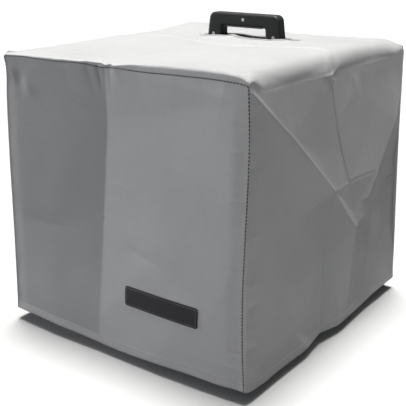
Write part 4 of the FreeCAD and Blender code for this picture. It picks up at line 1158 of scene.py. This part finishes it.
qx, qz = rounded(px, pz, 16, 164, 103, 137, 5.0)
e_in = np.minimum(np.minimum(px - 16, 164 - px), np.minimum(pz - 103, 137 - pz))
patch_off = 0.25 + 1.1 * smooth(e_in / 1.6) - 0.35 * np.exp(-((e_in - 3.2) / 0.9) ** 2) + 0.12 * value_noise(px, pz, 14.0, 61)
patch_grid = front_surface(qx, qz, patch_off)
patch = mesh_of("sewn_patch", patch_grid.reshape(-1, 3), grid_faces(112, 30))
attribute(patch, "cloth", cloth_uv(patch_grid), "FLOAT_VECTOR")
attribute(patch, "wear_and_highlight", np.zeros(patch_grid.shape[:2]))
fix_normals(patch, (0, 0, 0.25))
solid(patch, 0.7)
dress(patch, LABEL)
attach(patch, COVER)
per = []
for (x0, z0, x1, z1) in [(19.2, 106.2, 160.8, 106.2), (160.8, 106.2, 160.8, 133.8), (160.8, 133.8, 19.2, 133.8), (19.2, 133.8, 19.2, 106.2)]:
    n_ = max(2, int(math.hypot(x1 - x0, z1 - z0) / 1.5))
    per += [(x0 + (x1 - x0) * k / n_, z0 + (z1 - z0) * k / n_) for k in range(n_)]
per = np.array(per + per[:1])
pp = front_surface(per[:, 0], per[:, 1], 1.05)
patch_stitch = capsules("patch_stitches", pp, np.tile([0.0, -1.0, 0.0], (len(pp), 1)), 3.2, 2.2, 0.7, 0.1, THREAD_GREY, 0.1, 10)

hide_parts("cover_wrap_panel")
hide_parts("cover_front_panel")
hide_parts("cover_back_panel")
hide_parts("cover_hem_band")
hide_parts("cover_slot_binding")

# ------------------------------------------------------------------ stage, light and camera
scene = bpy.context.scene
fm, fnt, fb_ = nodes_of("floor_paint")
fo = object_coord(fnt)
link(fnt, mix_color(fnt, remap(fnt, noise_node(fnt, fo, 3.0, 3.0), 0.3, 0.7, 0, 1), (0.186, 0.186, 0.188), (0.192, 0.192, 0.194)), fb_.inputs["Base Color"])
fb_.inputs["Roughness"].default_value = 0.9
fb_.inputs["Specular IOR Level"].default_value = 0.1
fv = np.array([(-9000, -9000, -0.2), (9000, -9000, -0.2), (9000, 9000, -0.2), (-9000, 9000, -0.2)], float)
floor = mesh_of("floor", fv, np.array([(0, 1, 2, 3)]))
dress(floor, fm)

world = bpy.data.worlds.new("studio")
scene.world = world
world.use_nodes = True
wn = world.node_tree
bg = wn.nodes["Background"]
lp = wn.nodes.new("ShaderNodeLightPath")
bg2 = wn.nodes.new("ShaderNodeBackground")
mixs = wn.nodes.new("ShaderNodeMixShader")
bg.inputs["Color"].default_value = (0.92, 0.94, 1.0, 1)
bg.inputs["Strength"].default_value = 0.06
bg2.inputs["Color"].default_value = (1, 1, 1, 1)
bg2.inputs["Strength"].default_value = 1.05
wn.links.new(lp.outputs["Is Camera Ray"], mixs.inputs[0])
wn.links.new(bg.outputs[0], mixs.inputs[1])
wn.links.new(bg2.outputs[0], mixs.inputs[2])
wn.links.new(mixs.outputs[0], wn.nodes["World Output"].inputs["Surface"])


def sun(name, azimuth, elevation, energy, angle, color=(1, 1, 1)):
    """azimuth from the front (-Y) towards +X, elevation above the floor: where the light comes from."""
    la = bpy.data.lights.new(name, "SUN")
    la.energy, la.angle, la.color = energy, math.radians(angle), color
    o = bpy.data.objects.new(name, la)
    scene.collection.objects.link(o)
    a, e = math.radians(azimuth), math.radians(elevation)
    d = Vector((math.sin(a) * math.cos(e), -math.cos(a) * math.cos(e), math.sin(e)))
    o.rotation_euler = d.to_track_quat("Z", "Y").to_euler()
    return o


sun("overhead", 210, 84, 16.8, 20, (1.0, 1.0, 0.97))
sun("overhead_wide", 0, 90, 1.6, 60, (1.0, 1.0, 0.98))
sun("side", -80, 6, 4.8, 12, (0.93, 0.95, 1.0))
sun("key", 24, 12, 2.1, 25, (0.96, 0.975, 1.0))

cam_data = bpy.data.cameras.new("camera")
cam_data.lens, cam_data.sensor_width = 72.15, 36.0
cam_data.clip_start, cam_data.clip_end = 0.05, 60.0
cam = bpy.data.objects.new("camera", cam_data)
scene.collection.objects.link(cam)
cam.location = (0.8296, -1.1628, 0.6788)
pitch = math.radians(18.46)
look = Vector((-0.591 * math.cos(pitch), 0.807 * math.cos(pitch), -math.sin(pitch)))
cam.rotation_euler = look.to_track_quat("-Z", "Y").to_euler()
scene.camera = cam
scene.view_settings.view_transform = "Standard"
scene.view_settings.look = "None"
